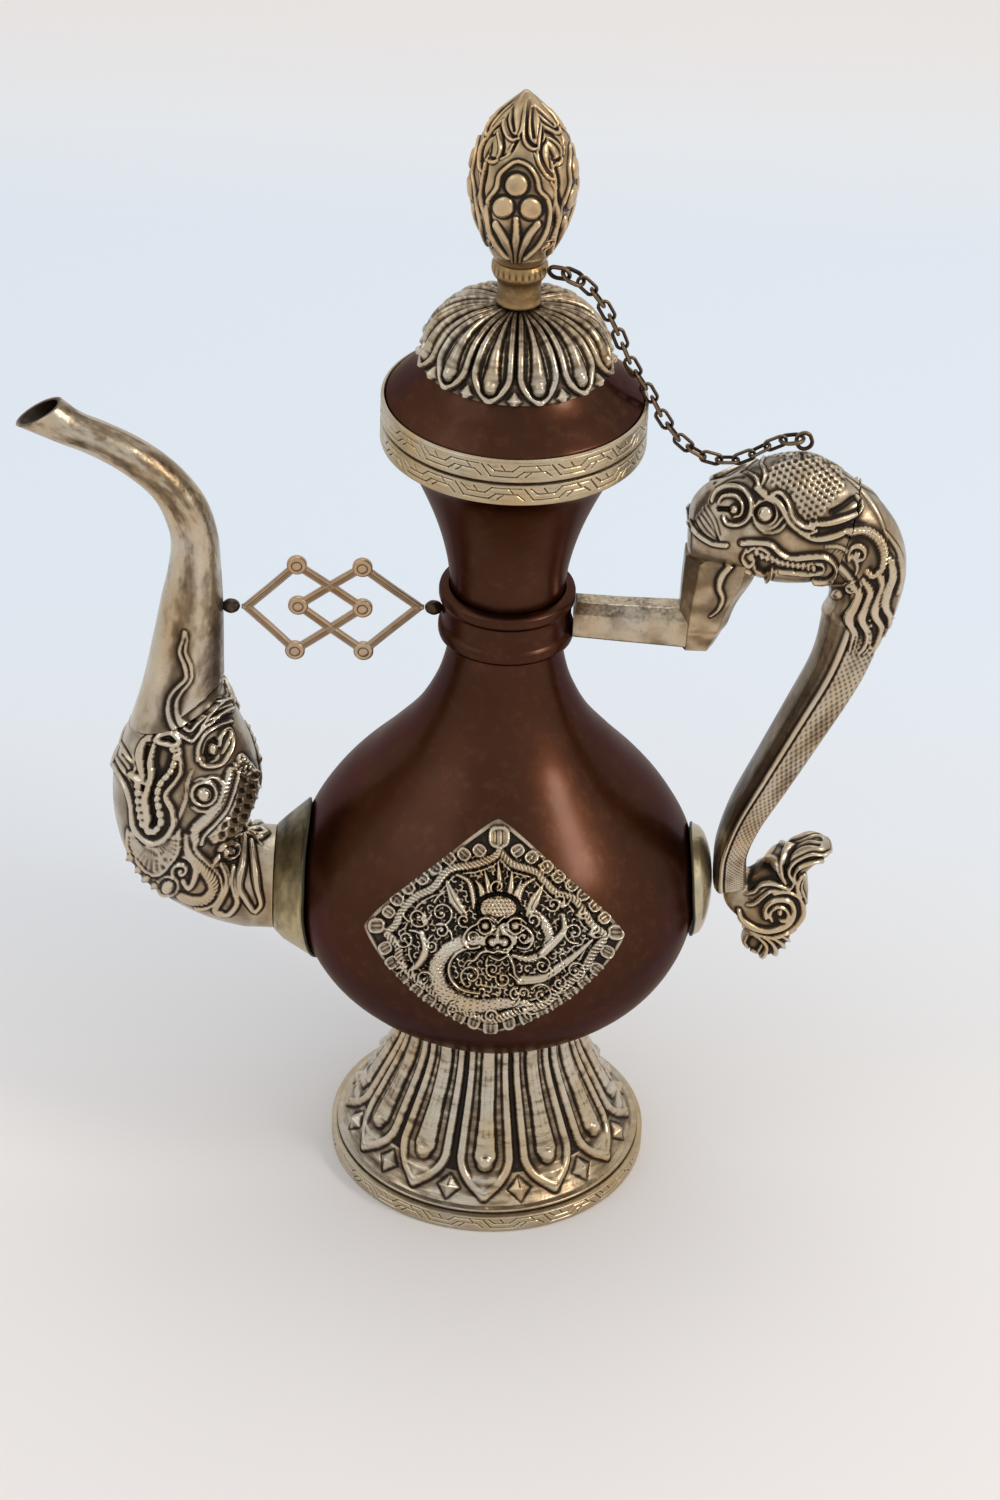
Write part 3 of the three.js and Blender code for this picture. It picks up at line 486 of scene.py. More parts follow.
def patinated_copper():
    """Dark oiled copper: a metal ground under a thin glossy skin, worn lighter in patches."""
    n = Nodes("patinated_copper")
    broad = n.noise(scale=16, detail=4)
    fine = n.noise(scale=240, detail=6, rough=0.65)
    base = n.ramp(broad, [(0.3, (0.038, 0.0128, 0.0056)), (0.5, (0.057, 0.0188, 0.0078)),
                          (0.7, (0.082, 0.028, 0.0118))])
    speck = n.ramp(fine, [(0.52, (0, 0, 0)), (0.75, (1, 1, 1))])
    n.colour(n.mix(n.math("MULTIPLY", speck, 0.4), base, (0.13, 0.055, 0.026)))
    n.rough(n.spread(n.math("ADD", n.noise(scale=60, detail=4), n.math("MULTIPLY", fine, 0.4)),
                     low=0.28, high=0.42))
    n.metallic(1.0)
    shader = n.shader.inputs
    shader["Specular Tint"].default_value = (0.44, 0.33, 0.22, 1)
    shader["Coat Weight"].default_value = 0.2
    shader["Coat Roughness"].default_value = 0.22
    shader["Coat Tint"].default_value = (1.0, 0.9, 0.8, 1)
    n.bump(n.math("ADD", n.noise(scale=34, detail=2), n.math("MULTIPLY", n.noise(scale=700, detail=4),
                                                             0.05)), strength=0.22, distance=0.0012)
    return n.material


silver = chased_metal("chased_silver", high=(0.53, 0.475, 0.39), mid=(0.26, 0.208, 0.148),
                      low=(0.085, 0.06, 0.038), dark=(0.017, 0.0115, 0.0075), warm=(0.96, 0.8, 0.58),
                      gloss=0.24)
band_silver = chased_metal("engraved_silver", high=(0.5, 0.43, 0.32), mid=(0.33, 0.27, 0.18),
                           low=(0.1, 0.075, 0.045), dark=(0.015, 0.011, 0.007), warm=(0.96, 0.82, 0.6))
gilt = chased_metal("worn_gilt", high=(0.4, 0.28, 0.14), mid=(0.23, 0.155, 0.075),
                    low=(0.085, 0.052, 0.026), dark=(0.015, 0.01, 0.005), warm=(1.0, 0.82, 0.58))
strut_brass = chased_metal("strut_brass", high=(0.62, 0.47, 0.33), mid=(0.42, 0.31, 0.21),
                           low=(0.16, 0.11, 0.07), dark=(0.03, 0.02, 0.012), warm=(1.0, 0.86, 0.68))
pale_gilt = chased_metal("pale_gilt", high=(0.58, 0.46, 0.3), mid=(0.33, 0.25, 0.155),
                         low=(0.105, 0.075, 0.046), dark=(0.018, 0.012, 0.008), warm=(1.0, 0.82, 0.6))
bronze = chased_metal("dark_bronze", high=(0.2, 0.15, 0.1), mid=(0.085, 0.06, 0.04),
                      low=(0.03, 0.021, 0.015), dark=(0.01, 0.008, 0.006), warm=(1.0, 0.75, 0.45))
silver_green = chased_metal("tarnished_silver", high=(0.5, 0.45, 0.34), mid=(0.29, 0.25, 0.175),
                            low=(0.1, 0.086, 0.056), dark=(0.02, 0.017, 0.011), warm=(0.93, 0.82, 0.54))
copper = patinated_copper()


# Turned pieces

def arc_length(outline):
    return np.concatenate([[0], np.cumsum(np.linalg.norm(np.diff(outline, axis=0), axis=1))])


def turned(outer, inner, sides, start=0.0, lift=None):
    """Rows of points from an outer outline with its lift, then back along the inner one."""
    angle = start + np.arange(sides) * TAU / sides
    run = np.gradient(outer, axis=0)
    run /= np.maximum(np.linalg.norm(run, axis=1, keepdims=True), 1e-9)
    out = np.stack([-run[:, 1], run[:, 0]], 1)
    if np.mean(out[:, 0]) < 0:
        out = -out
    h = np.zeros((len(outer), sides)) if lift is None else lift
    r = outer[:, :1] + h * out[:, :1]
    z = outer[:, 1:] + h * out[:, 1:]
    rows = np.stack([r * np.cos(angle), r * np.sin(angle), z], -1)
    ri = np.repeat(inner[:, :1], sides, 1)
    back = np.stack([ri * np.cos(angle), ri * np.sin(angle), np.repeat(inner[:, 1:], sides, 1)], -1)
    return np.concatenate([rows, back])


def with_inner(patina_and_painted_light, inner):
    """The same marks with those of the inner outline, which hardly shows."""
    return np.concatenate([patina_and_painted_light, np.full((len(inner), patina_and_painted_light.shape[1]), HIDDEN_MARK)])


BELLY = [[6, 46.4], [17, 47.2], [25, 49.4], [31, 53.2], [37.6, 58.2], [44.6, 64.4], [50.2, 71],
         [54, 79], [55.9, 88], [55.7, 95], [53.6, 105], [49, 114], [43.2, 122], [34.4, 132],
         [24.8, 144], [18.6, 156], [15.8, 166], [15.2, 173], [15.2, 179.6]]
belly_curve = spline(BELLY, count=400)


def belly_radius(z):
    return np.interp(z, belly_curve[:, 1], belly_curve[:, 0])


def soft_dents(shape, size, seed):
    """Slow, shallow unevenness of hand-raised metal, the same every run."""
    maker = np.random.default_rng(seed)
    field = maker.normal(size=shape)
    f0 = np.fft.fftfreq(shape[0])[:, None] * shape[0]
    f1 = np.fft.fftfreq(shape[1])[None] * shape[1]
    keep = np.exp(-(f0 ** 2 + f1 ** 2) / (2 * size ** 2))
    field = np.real(np.fft.ifft2(np.fft.fft2(field) * keep))
    return field / np.abs(field).max()


def worn(patina_and_painted_light, amount, size, seed):
    """The same patina, made uneven."""
    return np.clip(patina_and_painted_light + amount * soft_dents(patina_and_painted_light.shape, size=size, seed=seed), 0, 1)


BODY_ROWS, BODY_SIDES = 260, 360


def make_body():
    outer = even(BELLY, BODY_ROWS)
    inner = np.array([[13.8, 179.6], [13.8, 172], [15, 160], [30, 135], [50, 108], [54.3, 90], [40, 63],
                      [24, 51], [6, 47.8]])
    lift = 0.07 * soft_dents((BODY_ROWS, BODY_SIDES), size=9, seed=3)
    lift[:6] = 0
    lift[-3:] = 0
    p = turned(outer, inner, BODY_SIDES, lift=lift)
    skin("belly", p, copper, "vessel", ["body_shell"])


def make_neck():
    trumpet = [[15.2, 187], [16.3, 196], [18.8, 206], [22.5, 216], [26.8, 225], [30.4, 229.8],
               [32.4, 231.8]]
    outer = np.concatenate([[[15.2, 180.1]], even(trumpet, count=90), [[32.7, 232.6], [32.7, 237.9]]])
    inner = np.array([[31.3, 237.9], [31.3, 233], [28, 229.4], [21, 216], [15, 196], [13.8, 187],
                      [13.8, 180.1]])
    skin("upper_neck", turned(outer, inner, sides=240), copper, "vessel", ["neck_trumpet"],
         wrap=(True, True))
    bead = lambda z: [[17.4, z - 2.0], [18.0, z - 1.5], [18.3, z - 0.7], [18.35, z], [18.3, z + 0.7],
                      [18.0, z + 1.5], [17.4, z + 2.0]]
    mid = [[17.25, z] for z in np.linspace(176.6, 182.8, 8)]
    outer = np.array([[15.8, 172.2]] + bead(174.3)[1:] + mid + bead(185.2)[:-1] + [[15.8, 187.3]],
                     float)
    outer[:, 0] = np.minimum(outer[:, 0], 18.2)
    inner = np.array([[15.5, 187.3], [15.5, 172.2]])
    skin("collar", turned(outer, inner, sides=200), copper, "vessel", ["neck_collar"],
         wrap=(True, True))


# Lotus foot and cap: one petal is worked out and repeated round

def petal_field(curve, columns):
    """The drawing of one petal's pitch: across it and down it, in mm."""
    s = arc_length(curve)
    pitch = curve[:, 0] * TAU / PETALS / 2
    a = (np.arange(columns) + 0.5) / columns * 2 - 1
    x = a[None] * pitch[:, None]
    y = np.repeat(s[:, None], columns, 1)
    return Relief(x, y), pitch, s


def petal_edge(reach, length, width, onset, fullness, roundness):
    """Half widths down the petal, a share of the pitch that closes to the tip from the onset on."""
    edge = []
    for f in np.linspace(0, 1, 26):
        closing = max(0.0, (f - onset) / (1 - onset))
        edge.append([width * (1 - closing ** fullness) ** roundness * reach(f * length), f * length])
    return np.array(edge)


def spear(field, end, places, halves, base, rise, power, moat, floor, moat_from=-1.0):
    """A raised spear down the middle of a petal, with a moat beside it."""
    near, d, along, _, length = field.distance(np.array([[0, 0], [0, end]], float), 6)
    half = np.interp(along / length, places, halves)
    r = np.clip(d / half, 0, 1)
    here = field.h[near]
    here[d < half] = np.maximum(here, base + rise * (1 - r ** power))[d < half]
    here[(d >= half) & (d < half + moat) & (along > length * moat_from)] = floor
    field.h[near] = here


def studs(field, reach, y, half_width, half_length, height, base=0.0, moat=0.0):
    """A diamond stud on each side, where the petal meets the next one."""
    for sign in (1, -1):
        size = np.abs(field.x - sign * reach(field.y)) / half_width + np.abs(field.y - y) / half_length
        field.h = np.where(size < 1, np.maximum(field.h, height * (1 - size) + base), field.h)
        round_it = (size >= 1) & (size < 1 + moat)
        field.h = np.where(round_it, np.minimum(field.h, -0.3), field.h)


def make_foot():
    outline = [[23.2, 48.4], [23.4, 45.4], [23.9, 41], [25.6, 35.6], [28.2, 29.8], [31, 24], [34, 18],
               [37, 12.5], [39.6, 8.6], [41.6, 6.6]]
    curve = even(outline, count=230)
    columns = 80
    field, pitch, s = petal_field(curve, columns)
    total = s[-1]
    reach = lambda y: np.interp(y, s, pitch)
    edge = petal_edge(reach, total * 0.945, width=0.93, onset=0.74, fullness=1.8, roundness=0.74)
    width = np.interp(field.y, edge[:, 1], edge[:, 0], right=0)
    inside = (np.abs(field.x) < width) & (field.y < edge[-1, 1])
    field.h[inside] = 0.2
    for sign in (1, -1):
        rim = edge.copy()
        rim[:, 0] = np.maximum(rim[:, 0] - np.interp(rim[:, 1], [0, total], [1.1, 1.7]), 0) * sign
        field.ridge(rim, width=2.5, height=1.1, count=120, flat=3.4, taper=(0.8, 1.2))
    spear_end = total * 0.74
    spear(field, spear_end, [0, 0.6, 0.86, 0.95, 1], [1.7, 2.1, 2.8, 3.1, 2.4], base=0.6, rise=0.9,
          power=3, moat=0.5, floor=-0.1)
    field.groove([[-0.75, spear_end * 0.2], [-0.8, spear_end * 0.78]], width=0.5, depth=0.22)
    field.groove([[0.75, spear_end * 0.2], [0.8, spear_end * 0.78]], width=0.5, depth=0.22)
    field.knob(0, spear_end - 0.4, radius=2.0, height=1.25)
    bowl = (np.abs(field.x) < width - 0.8) & (field.y > spear_end + 2.2) & (field.y < edge[-1, 1] - 0.5)
    keel = np.clip(1 - np.abs(field.x) / np.maximum(width, 0.3), 0, 1)
    onset = np.clip((field.y - spear_end - 2.2) / 2.5, 0, 1)
    field.h[bowl] = (np.maximum(field.h, 0.75 * onset) + 0.7 * keel * onset)[bowl]
    studs(field, reach, total * 0.905, half_width=3.3, half_length=3.6, height=2.1, moat=0.16)
    between = ~inside & (field.h <= 0) & (field.y < total * 0.8)
    field.h[between] = -0.4
    field.h[-3:] *= 0.3
    one = field.h
    lift = np.tile(one, (1, PETALS))
    lift = blurred(lift, rounds=1, wrap=(False, True))
    patina_and_painted_light = patina(lift, (False, True), plain=0.6, gain=0.7, broad=0.7)
    patina_and_painted_light -= 0.25 * np.tile(between, (1, PETALS))
    patina_and_painted_light = np.clip(patina_and_painted_light + 0.3 * soft_dents(patina_and_painted_light.shape, size=16, seed=71)
                     + 0.16 * soft_dents(patina_and_painted_light.shape, size=60, seed=72), 0, 1)
    ledge = even([[41.9, 6.45], [42.6, 6.5], [43.3, 6.4], [43.45, 6.0], [43.3, 5.6]], count=8)
    inner = np.concatenate([ledge, [[40, 5.6], [38.4, 7.6], [32, 18], [26, 30], [22.6, 40],
                                    [22.2, 45.4]]])
    start = -math.pi / 2 - math.pi / PETALS
    p = turned(curve, inner, columns * PETALS, start, np.clip(lift, -0.55, 2.2))
    marks = np.concatenate([patina_and_painted_light, np.full((8, patina_and_painted_light.shape[1]), 0.62),
                            np.full((len(inner) - 8, patina_and_painted_light.shape[1]), 0.3)])
    skin("lotus_foot", p, silver, "vessel", ["foot_shell"], marks, wrap=(True, True))


def make_cap():
    dome = [[23.6, 254.6], [22, 258.2], [20.6, 262], [17.6, 265.8], [12.5, 268.2], [6, 268.9]]
    base = spline(dome, count=60)
    run = np.gradient(base, axis=0)
    run /= np.linalg.norm(run, axis=1, keepdims=True)
    base = (base + np.stack([run[:, 1], -run[:, 0]], 1) * 1.5)[::-1]
    curve = even(base, count=170)
    columns = 64
    field, pitch, s = petal_field(curve, columns)
    total = s[-1]
    reach = lambda y: np.interp(y, s, pitch)
    edge = petal_edge(reach, total * 0.99, width=0.9, onset=0.72, fullness=1.7, roundness=0.7)
    width = np.interp(field.y, edge[:, 1], edge[:, 0], right=0)
    inside = (np.abs(field.x) < width) & (field.y < edge[-1, 1])
    field.h = np.where(inside, 0.35, -0.3)
    for sign in (1, -1):
        rim = edge.copy()
        rim[:, 0] = np.maximum(rim[:, 0] - 0.7, 0) * sign
        field.ridge(rim, width=1.9, height=1.15, count=120, flat=3.0, taper=(0.7, 1.1))
        inner_rim = edge[:23].copy()
        inner_rim[:, 0] = np.maximum(inner_rim[:, 0] - 2.2, 0.2) * sign
        field.groove(inner_rim, width=0.7, depth=0.5, count=90)
    drop_end = total * 0.86
    spear(field, drop_end, [0, 0.45, 0.8, 0.92, 1], [0.35, 0.8, 1.7, 2.2, 1.9], base=0.4, rise=0.95,
          power=2, moat=0.42, floor=-0.2, moat_from=0.3)
    field.knob(0, drop_end - 0.3, radius=1.8, height=0.9)
    studs(field, reach, total * 0.955, half_width=2.0, half_length=2.5, height=1.6, base=0.2)
    lift = blurred(np.tile(field.h, (1, PETALS)), rounds=1, wrap=(False, True))
    patina_and_painted_light = patina(lift, (False, True), plain=0.55, gain=0.7, broad=0.6)
    patina_and_painted_light *= np.interp(s, [0, total * 0.5, total], [0.72, 0.88, 1.0])[:, None]
    patina_and_painted_light = worn(patina_and_painted_light, amount=0.24, size=14, seed=73)
    inner = np.array([[23.7, 254.8], [22.6, 258.5], [20.8, 262.6], [17.8, 266.4], [12.6, 268.7],
                      [5, 269.3], [2.4, 269.4], [2.4, 271]])
    start = -math.pi / 2
    p = turned(curve, inner, columns * PETALS, start, np.clip(lift, -0.6, 1.9))
    skin("lotus_cap", p, silver, "lid", ["lid_petal_cap"], with_inner(patina_and_painted_light, inner),
         wrap=(True, True))


def make_lid():
    dome = [[33.3, 244.9], [32, 246.2], [29.4, 248.6], [26.2, 251.4], [23.6, 254.6], [22, 258.2],
            [20.6, 262], [17.6, 265.8], [12.5, 268.2], [3, 268.9]]
    outer = np.concatenate([[[33.45, 240.2]], even(dome, count=80)])
    inner = np.array([[3, 267.6], [12, 267], [19, 262], [24, 251.5], [31.8, 245], [32.3, 240.2]])
    skin("lid_dome_copper", turned(outer, inner, sides=300), copper, "lid", ["lid_dome"],
         wrap=(True, True))


def make_sleeve():
    """The plug under the lid, turned with a flange that rests on the mouth."""
    outer = np.array([[26.0, 229.9], [26.6, 229.85], [26.95, 230.1], [27, 231], [27, 234], [27, 237],
                      [27, 238.0], [27.3, 238.25], [29, 238.3], [33.2, 238.3], [33.3, 238.5],
                      [33.3, 239.3], [33.2, 239.5]])
    inner = np.array([[29, 239.5], [26.1, 239.5], [25.95, 239.3], [25.9, 236], [25.9, 230.2]])
    skin("sleeve", turned(outer, inner, sides=220), copper, "lid", ["lid_sleeve"],
         wrap=(True, True))


BAND_ROWS, BAND_COLUMNS = 60, 1440


def fret_band(name, outline, back, height, units, body, replaced, start=0.0):
    """A plain band with a fine engraved fret of slanting, interlocking steps."""
    curve = even(outline, BAND_ROWS)
    s = arc_length(curve)
    columns = BAND_COLUMNS // units
    radius = curve[:, 0].mean()
    unit = TAU * radius / units
    x = (np.arange(columns) + 0.5) / columns * unit
    field = Relief(np.repeat(x[None], len(curve), 0), np.repeat(s[:, None], columns, 1))
    low, high = (s[-1] - height) / 2, (s[-1] + height) / 2
    mid = (low + high) / 2
    top, base = high - 0.35, low + 0.35
    strokes = [
        [[0.0, base], [0.13, top], [0.5, top], [0.6, mid + 0.1]],
        [[0.09, base], [0.19, mid], [0.44, mid], [0.54, base]],
        [[0.54, base], [0.96, base]],
        [[0.6, mid + 0.1], [0.9, mid + 0.1], [1.0, top]],
        [[0.62, top], [0.7, mid + 0.4]],
        [[0.28, base], [0.33, mid - 0.3]],
        [[0.78, base], [0.84, mid - 0.3]],
    ]
    for path in strokes:
        for a, b in zip(path, path[1:]):
            for turn in (-1, 0, 1):
                field.groove([[(a[0] + turn) * unit, a[1]], [(b[0] + turn) * unit, b[1]]], width=0.46,
                             depth=0.4)
    lift = np.tile(field.h, (1, units))
    wear = 0.14 * soft_dents(lift.shape, size=12, seed=11)
    wear += 0.08 * soft_dents(lift.shape, size=40, seed=12)
    patina_and_painted_light = np.clip(0.66 + 2.6 * (lift - blurred(lift, rounds=5, wrap=(False, True))) + wear, 0, 1)
    p = turned(curve, np.array(back, float), columns * units, start, np.maximum(lift, -0.3))
    skin(name, p, band_silver, body, replaced, with_inner(patina_and_painted_light, np.array(back)),
         wrap=(True, True))


def make_bands():
    fret_band("foot_band", [[44.2, 5.2], [44.85, 4.9], [45, 4.5], [45, 2.5], [45, 0.5], [44.7, 0.02]],
              [[42.2, 0.0], [42.2, 5.2]], height=3.6, units=16, body="vessel",
              replaced=["foot_rim_band"])
    fret_band("mouth_fret", [[33.6, 237.75], [34.3, 237.6], [34.6, 237.2], [34.6, 234.5], [34.6, 232.2],
                             [34.2, 231.8]], [[33.0, 232.2], [33.0, 237.9]], height=3.9, units=12,
              body="vessel", replaced=["mouth_band"], start=0.1)
    fret_band("lid_fret", [[33.9, 244.8], [34.4, 244.5], [34.6, 244.0], [34.6, 241.5], [34.6, 239.0],
                           [34.2, 238.3]], [[33.7, 238.2], [33.7, 244.8]], height=3.9, units=12,
              body="lid", replaced=["lid_band"], start=0.3)


# Lofted pieces: rails in the plane y = 0 with half widths, and relief on the side that the photograph shows

OCTAGON = [[1, 0.4], [0.6, 1], [-0.6, 1], [-1, 0.4], [-1, -0.4], [-0.6, -1], [0.6, -1], [1, -0.4]]


def section_ring(shape, aspect, cols):
    """Evenly spaced points round a section whose length is aspect times its width.

    A number gives a superellipse, corners give their polygon, a little rounded.
    """
    if isinstance(shape, float):
        a = np.arange(2000) / 2000 * TAU
        c, k = np.cos(a), np.sin(a)
        ring = np.stack([np.sign(c) * np.abs(c) ** (2 / shape), np.sign(k) * np.abs(k) ** (2 / shape)],
                        1)
    else:
        corners = np.array(shape, float)
        ring = np.concatenate([a + (b - a) * np.linspace(0, 1, 60, endpoint=False)[:, None]
                               for a, b in zip(corners, np.roll(corners, -1, 0))])
        for _ in range(12):
            ring = (np.roll(ring, 1, 0) + ring + np.roll(ring, -1, 0)) / 3
    closed = np.concatenate([ring, ring[:1]])
    run = arc_length(closed * [aspect, 1])
    at = (np.arange(cols) + 0.5) / cols * run[-1]
    return np.interp(at, run, closed[:, 0]), np.interp(at, run, closed[:, 1])


def loft(stations, rows, cols, shape=2.0, bulge=None):
    """A skin through stations of [one rail, other rail, half width].

    The bulge swells it out of the first rail's side. The share runs from 0 at that rail to 1 at the other.
    """
    flat = np.array([[a[0], a[1], b[0], b[1], half] for a, b, half in stations], float)
    fine = spline(flat, rows)
    long_half = np.hypot(fine[:, 0] - fine[:, 2], fine[:, 1] - fine[:, 3]) / 2
    along, across = section_ring(shape, float(np.median(long_half / fine[:, 4])), cols)
    along, across = along[None], across[None]
    x = (fine[:, 0] + fine[:, 2])[:, None] / 2 + (fine[:, 0] - fine[:, 2])[:, None] / 2 * along
    z = (fine[:, 1] + fine[:, 3])[:, None] / 2 + (fine[:, 1] - fine[:, 3])[:, None] / 2 * along
    y = fine[:, 4:] * across
    if bulge is not None:
        swell = spline(np.array(bulge, float)[:, None], rows)
        swell = swell * np.clip(along, 0, 1) ** 6 * (1 - across ** 2)
        x += swell * ((fine[:, 0] - fine[:, 2]) / (2 * long_half))[:, None]
        z += swell * ((fine[:, 1] - fine[:, 3]) / (2 * long_half))[:, None]
    share = np.repeat((1 - along) / 2, rows, 0)
    return np.stack([x, y, z], -1), share


def drawing_of(p, origin, scale):
    """A relief in the photograph's frame for the side that it shows. The far side is its mirror."""
    near = p.copy()
    near[..., 1] = -np.abs(near[..., 1])
    uv = to_drawing(near)
    x, y = ((uv[..., k] - origin[k]) / PIXELS_PER_MM for k in (0, 1))
    return Relief(x, y), PIXELS_PER_MM * scale


def trace(*numbers):
    """Points from a run of x, y, x, y."""
    return [list(pair) for pair in zip(numbers[::2], numbers[1::2])]


def pens(unit):
    """What turns a traced line, a length and a disc (x, y, radius) of a drawing into mm."""
    def line(points):
        return [[x / unit, y / unit] for x, y in points]

    def mm(length):
        return length / unit

    def disc(place):
        return [value / unit for value in place]

    return line, mm, disc


def carve(p, field, plain=0.6, broad=0.6):
    """The skin with its relief, and the patina that goes with it."""
    wrap = (False, True)
    lift = blurred(field.h, rounds=1, wrap=wrap)
    patina_and_painted_light = patina(lift, wrap, plain, broad=broad)
    n = normals(p, wrap)
    middle = p.mean(axis=1, keepdims=True)
    n *= np.sign(np.einsum("ijk,ijk->ij", n, p - middle).mean())
    return p + n * lift[..., None], patina_and_painted_light


# Plaques and plates that lie on the belly

def on_belly(heading, z, lift):
    """A point at a heading and height on the belly, lifted off it."""
    r = belly_radius(z)
    slope = belly_radius(z + 0.5) - belly_radius(z - 0.5)
    size = np.sqrt(1 + slope ** 2)
    out = r + lift / size
    return np.stack([out * np.cos(heading), out * np.sin(heading), z - lift * slope / size], -1)


PLAQUE_TOP, PLAQUE_MIDDLE, PLAQUE_BOTTOM = 134.0, 104.0, 80.0
PLAQUE_HALF_ANGLE = math.radians(39.3)
PLAQUE_DRAWING = (350, 800), 5.227
PLAQUE_CELLS = 330
PLAQUE_LIMIT = -58.65


def plaque_grid(share_s, share_t):
    """Points of the lozenge, whose four corners are those of a square."""
    u, v = (share_s + share_t) / 2, (share_t - share_s) / 2
    size = np.maximum(np.abs(share_s), np.abs(share_t))
    power = np.where(v > 0, 1.35, 1.15)
    norm = np.maximum((np.abs(u) ** power + np.abs(v) ** power) ** (1 / power), 1e-9)
    u, v = u * size / norm, v * size / norm
    heading = -math.pi / 2 + PLAQUE_HALF_ANGLE * u
    z = PLAQUE_MIDDLE + np.where(v > 0, PLAQUE_TOP - PLAQUE_MIDDLE, PLAQUE_MIDDLE - PLAQUE_BOTTOM) * v
    return heading, z, size


def make_plaques():
    side = np.linspace(-1, 1, PLAQUE_CELLS)
    s, t = np.meshgrid(side, side, indexing="ij")
    heading, z, size = plaque_grid(s, t)
    crown = 1.35 + 0.6 * np.clip((1 - size) / 0.5, 0, 1) ** 0.8
    field, unit = drawing_of(on_belly(heading, z, crown), *PLAQUE_DRAWING)
    draw_plaque(field, unit, size)
    lift = blurred(field.h, rounds=1, wrap=(False, False))
    patina_and_painted_light = patina(lift, (False, False), plain=0.54, gain=0.75, fine=2.2, wide=9)
    patina_and_painted_light += 0.2 * np.clip(lift - 0.3, -1, 1.2)
    patina_and_painted_light = np.clip(patina_and_painted_light, 0, 1)
    edge = np.clip((1 - size) / 0.012, 0, 1)
    top = on_belly(heading, z, 0.62 + (crown - 0.62 + lift) * (0.35 + 0.65 * edge ** 0.5))
    top[..., 1] = np.maximum(top[..., 1], PLAQUE_LIMIT)
    back = np.linspace(1, -1, 22)
    s, t = np.meshgrid(side, back, indexing="ij")
    heading, z, _ = plaque_grid(s, t)
    under = on_belly(heading, z, 0.62)
    p = np.concatenate([top, under], 1)
    marks = np.concatenate([patina_and_painted_light, np.full(under.shape[:2], 0.3)], 1)
    skin("plaque_front", p, silver, "vessel", ["front_plaque"], marks)
    skin("plaque_back", p * [-1, -1, 1], silver, "vessel", ["back_plaque"], marks)


def loop_ridge(field, points, width, height, **more):
    field.ridge(points + points[:1], width=width, height=height, **more)


def lobe(field, x, y, facing, length, width):
    """A solid rounded petal with a raised rim and fine lines down it."""
    c, n = math.cos(facing), math.sin(facing)
    a = ((field.x - x) * c + (field.y - y) * n) / length
    b = ((field.y - y) * c - (field.x - x) * n) / width
    r = (np.abs(a) ** 2.6 + np.abs(b) ** 2.6) ** (1 / 2.6)
    rim = np.exp(-((r - 0.82) / 0.13) ** 2)
    lines = np.exp(-(np.abs(np.abs(b) - 0.26) / 0.09) ** 2) * (r < 0.6)
    rise = 0.5 + 0.55 * rim - 0.22 * lines
    field.h = np.where(r < 1, rise * np.clip((1 - r) / 0.1, 0, 1) ** 0.5, field.h)


def filler(field, outline, pitch, seed):
    """Small scrolls that fill a ground between its larger forms."""
    maker = np.random.default_rng(seed)
    low, high = np.min(outline, 0), np.max(outline, 0)
    for k, y in enumerate(np.arange(low[1], high[1], pitch * 0.8)):
        for x in np.arange(low[0] + (k % 2) * pitch / 2, high[0], pitch):
            px, py = x + maker.uniform(-0.3, 0.3), y + maker.uniform(-0.3, 0.3)
            start, hand = maker.uniform(0, TAU), maker.choice([-1, 1])
            t = np.linspace(0, 1, 7)
            r = pitch * 0.56 * (1 - 0.75 * t)
            angle = start + hand * 4.6 * t
            field.ridge(np.stack([px + r * np.cos(angle), py + r * np.sin(angle)], 1), width=0.72,
                        height=0.5, taper=(0.6, 1), count=16)


# Traces: runs of x, y in a drawing's own steps from its corner. Discs and curls have a radius too.

class PlaqueTraces:
    middle = (785, 715)
    border_lobes = [(780, 195, -1.57, 48), (875, 265, -0.6, 29), (948, 300, -0.75, 29),
                    (1025, 350, -0.75, 29), (1088, 400, -0.75, 29), (1157, 445, -0.75, 29),
                    (1218, 492, -0.75, 29), (1278, 550, -0.75, 29), (1325, 615, -0.6, 27),
                    (1385, 690, 0, 34), (678, 265, -2.4, 29), (598, 285, -2.4, 29),
                    (518, 305, -2.4, 29), (448, 355, -2.4, 29), (380, 410, -2.4, 29),
                    (308, 460, -2.4, 29), (250, 520, -2.4, 29), (208, 585, -2.5, 27),
                    (145, 655, 3.14, 34), (190, 770, 2.6, 29), (225, 845, 2.6, 29), (280, 920, 2.4, 29),
                    (350, 990, 2.3, 29), (420, 1040, 2.2, 29), (500, 1085, 2.1, 29),
                    (575, 1125, 2.0, 29), (650, 1150, 1.9, 29), (735, 1180, 1.57, 34),
                    (1340, 790, 0.5, 29), (1285, 880, 0.6, 29), (1220, 950, 0.8, 29),
                    (1150, 1000, 0.9, 29), (1075, 1065, 1.0, 29), (1000, 1105, 1.1, 29),
                    (915, 1130, 1.2, 29), (830, 1155, 1.4, 29)]
    rope = trace(785, 268, 850, 335, 960, 372, 1010, 420, 1080, 488, 1160, 512, 1215, 575, 1262, 650,
                 1325, 710, 1270, 795, 1210, 890, 1100, 985, 1000, 1065, 880, 1095, 740, 1140,
                 600, 1095, 500, 1045, 400, 968, 305, 890, 262, 825, 252, 755, 200, 695, 240, 652,
                 278, 575, 345, 505, 432, 462, 485, 398, 535, 358, 650, 338, 740, 306)


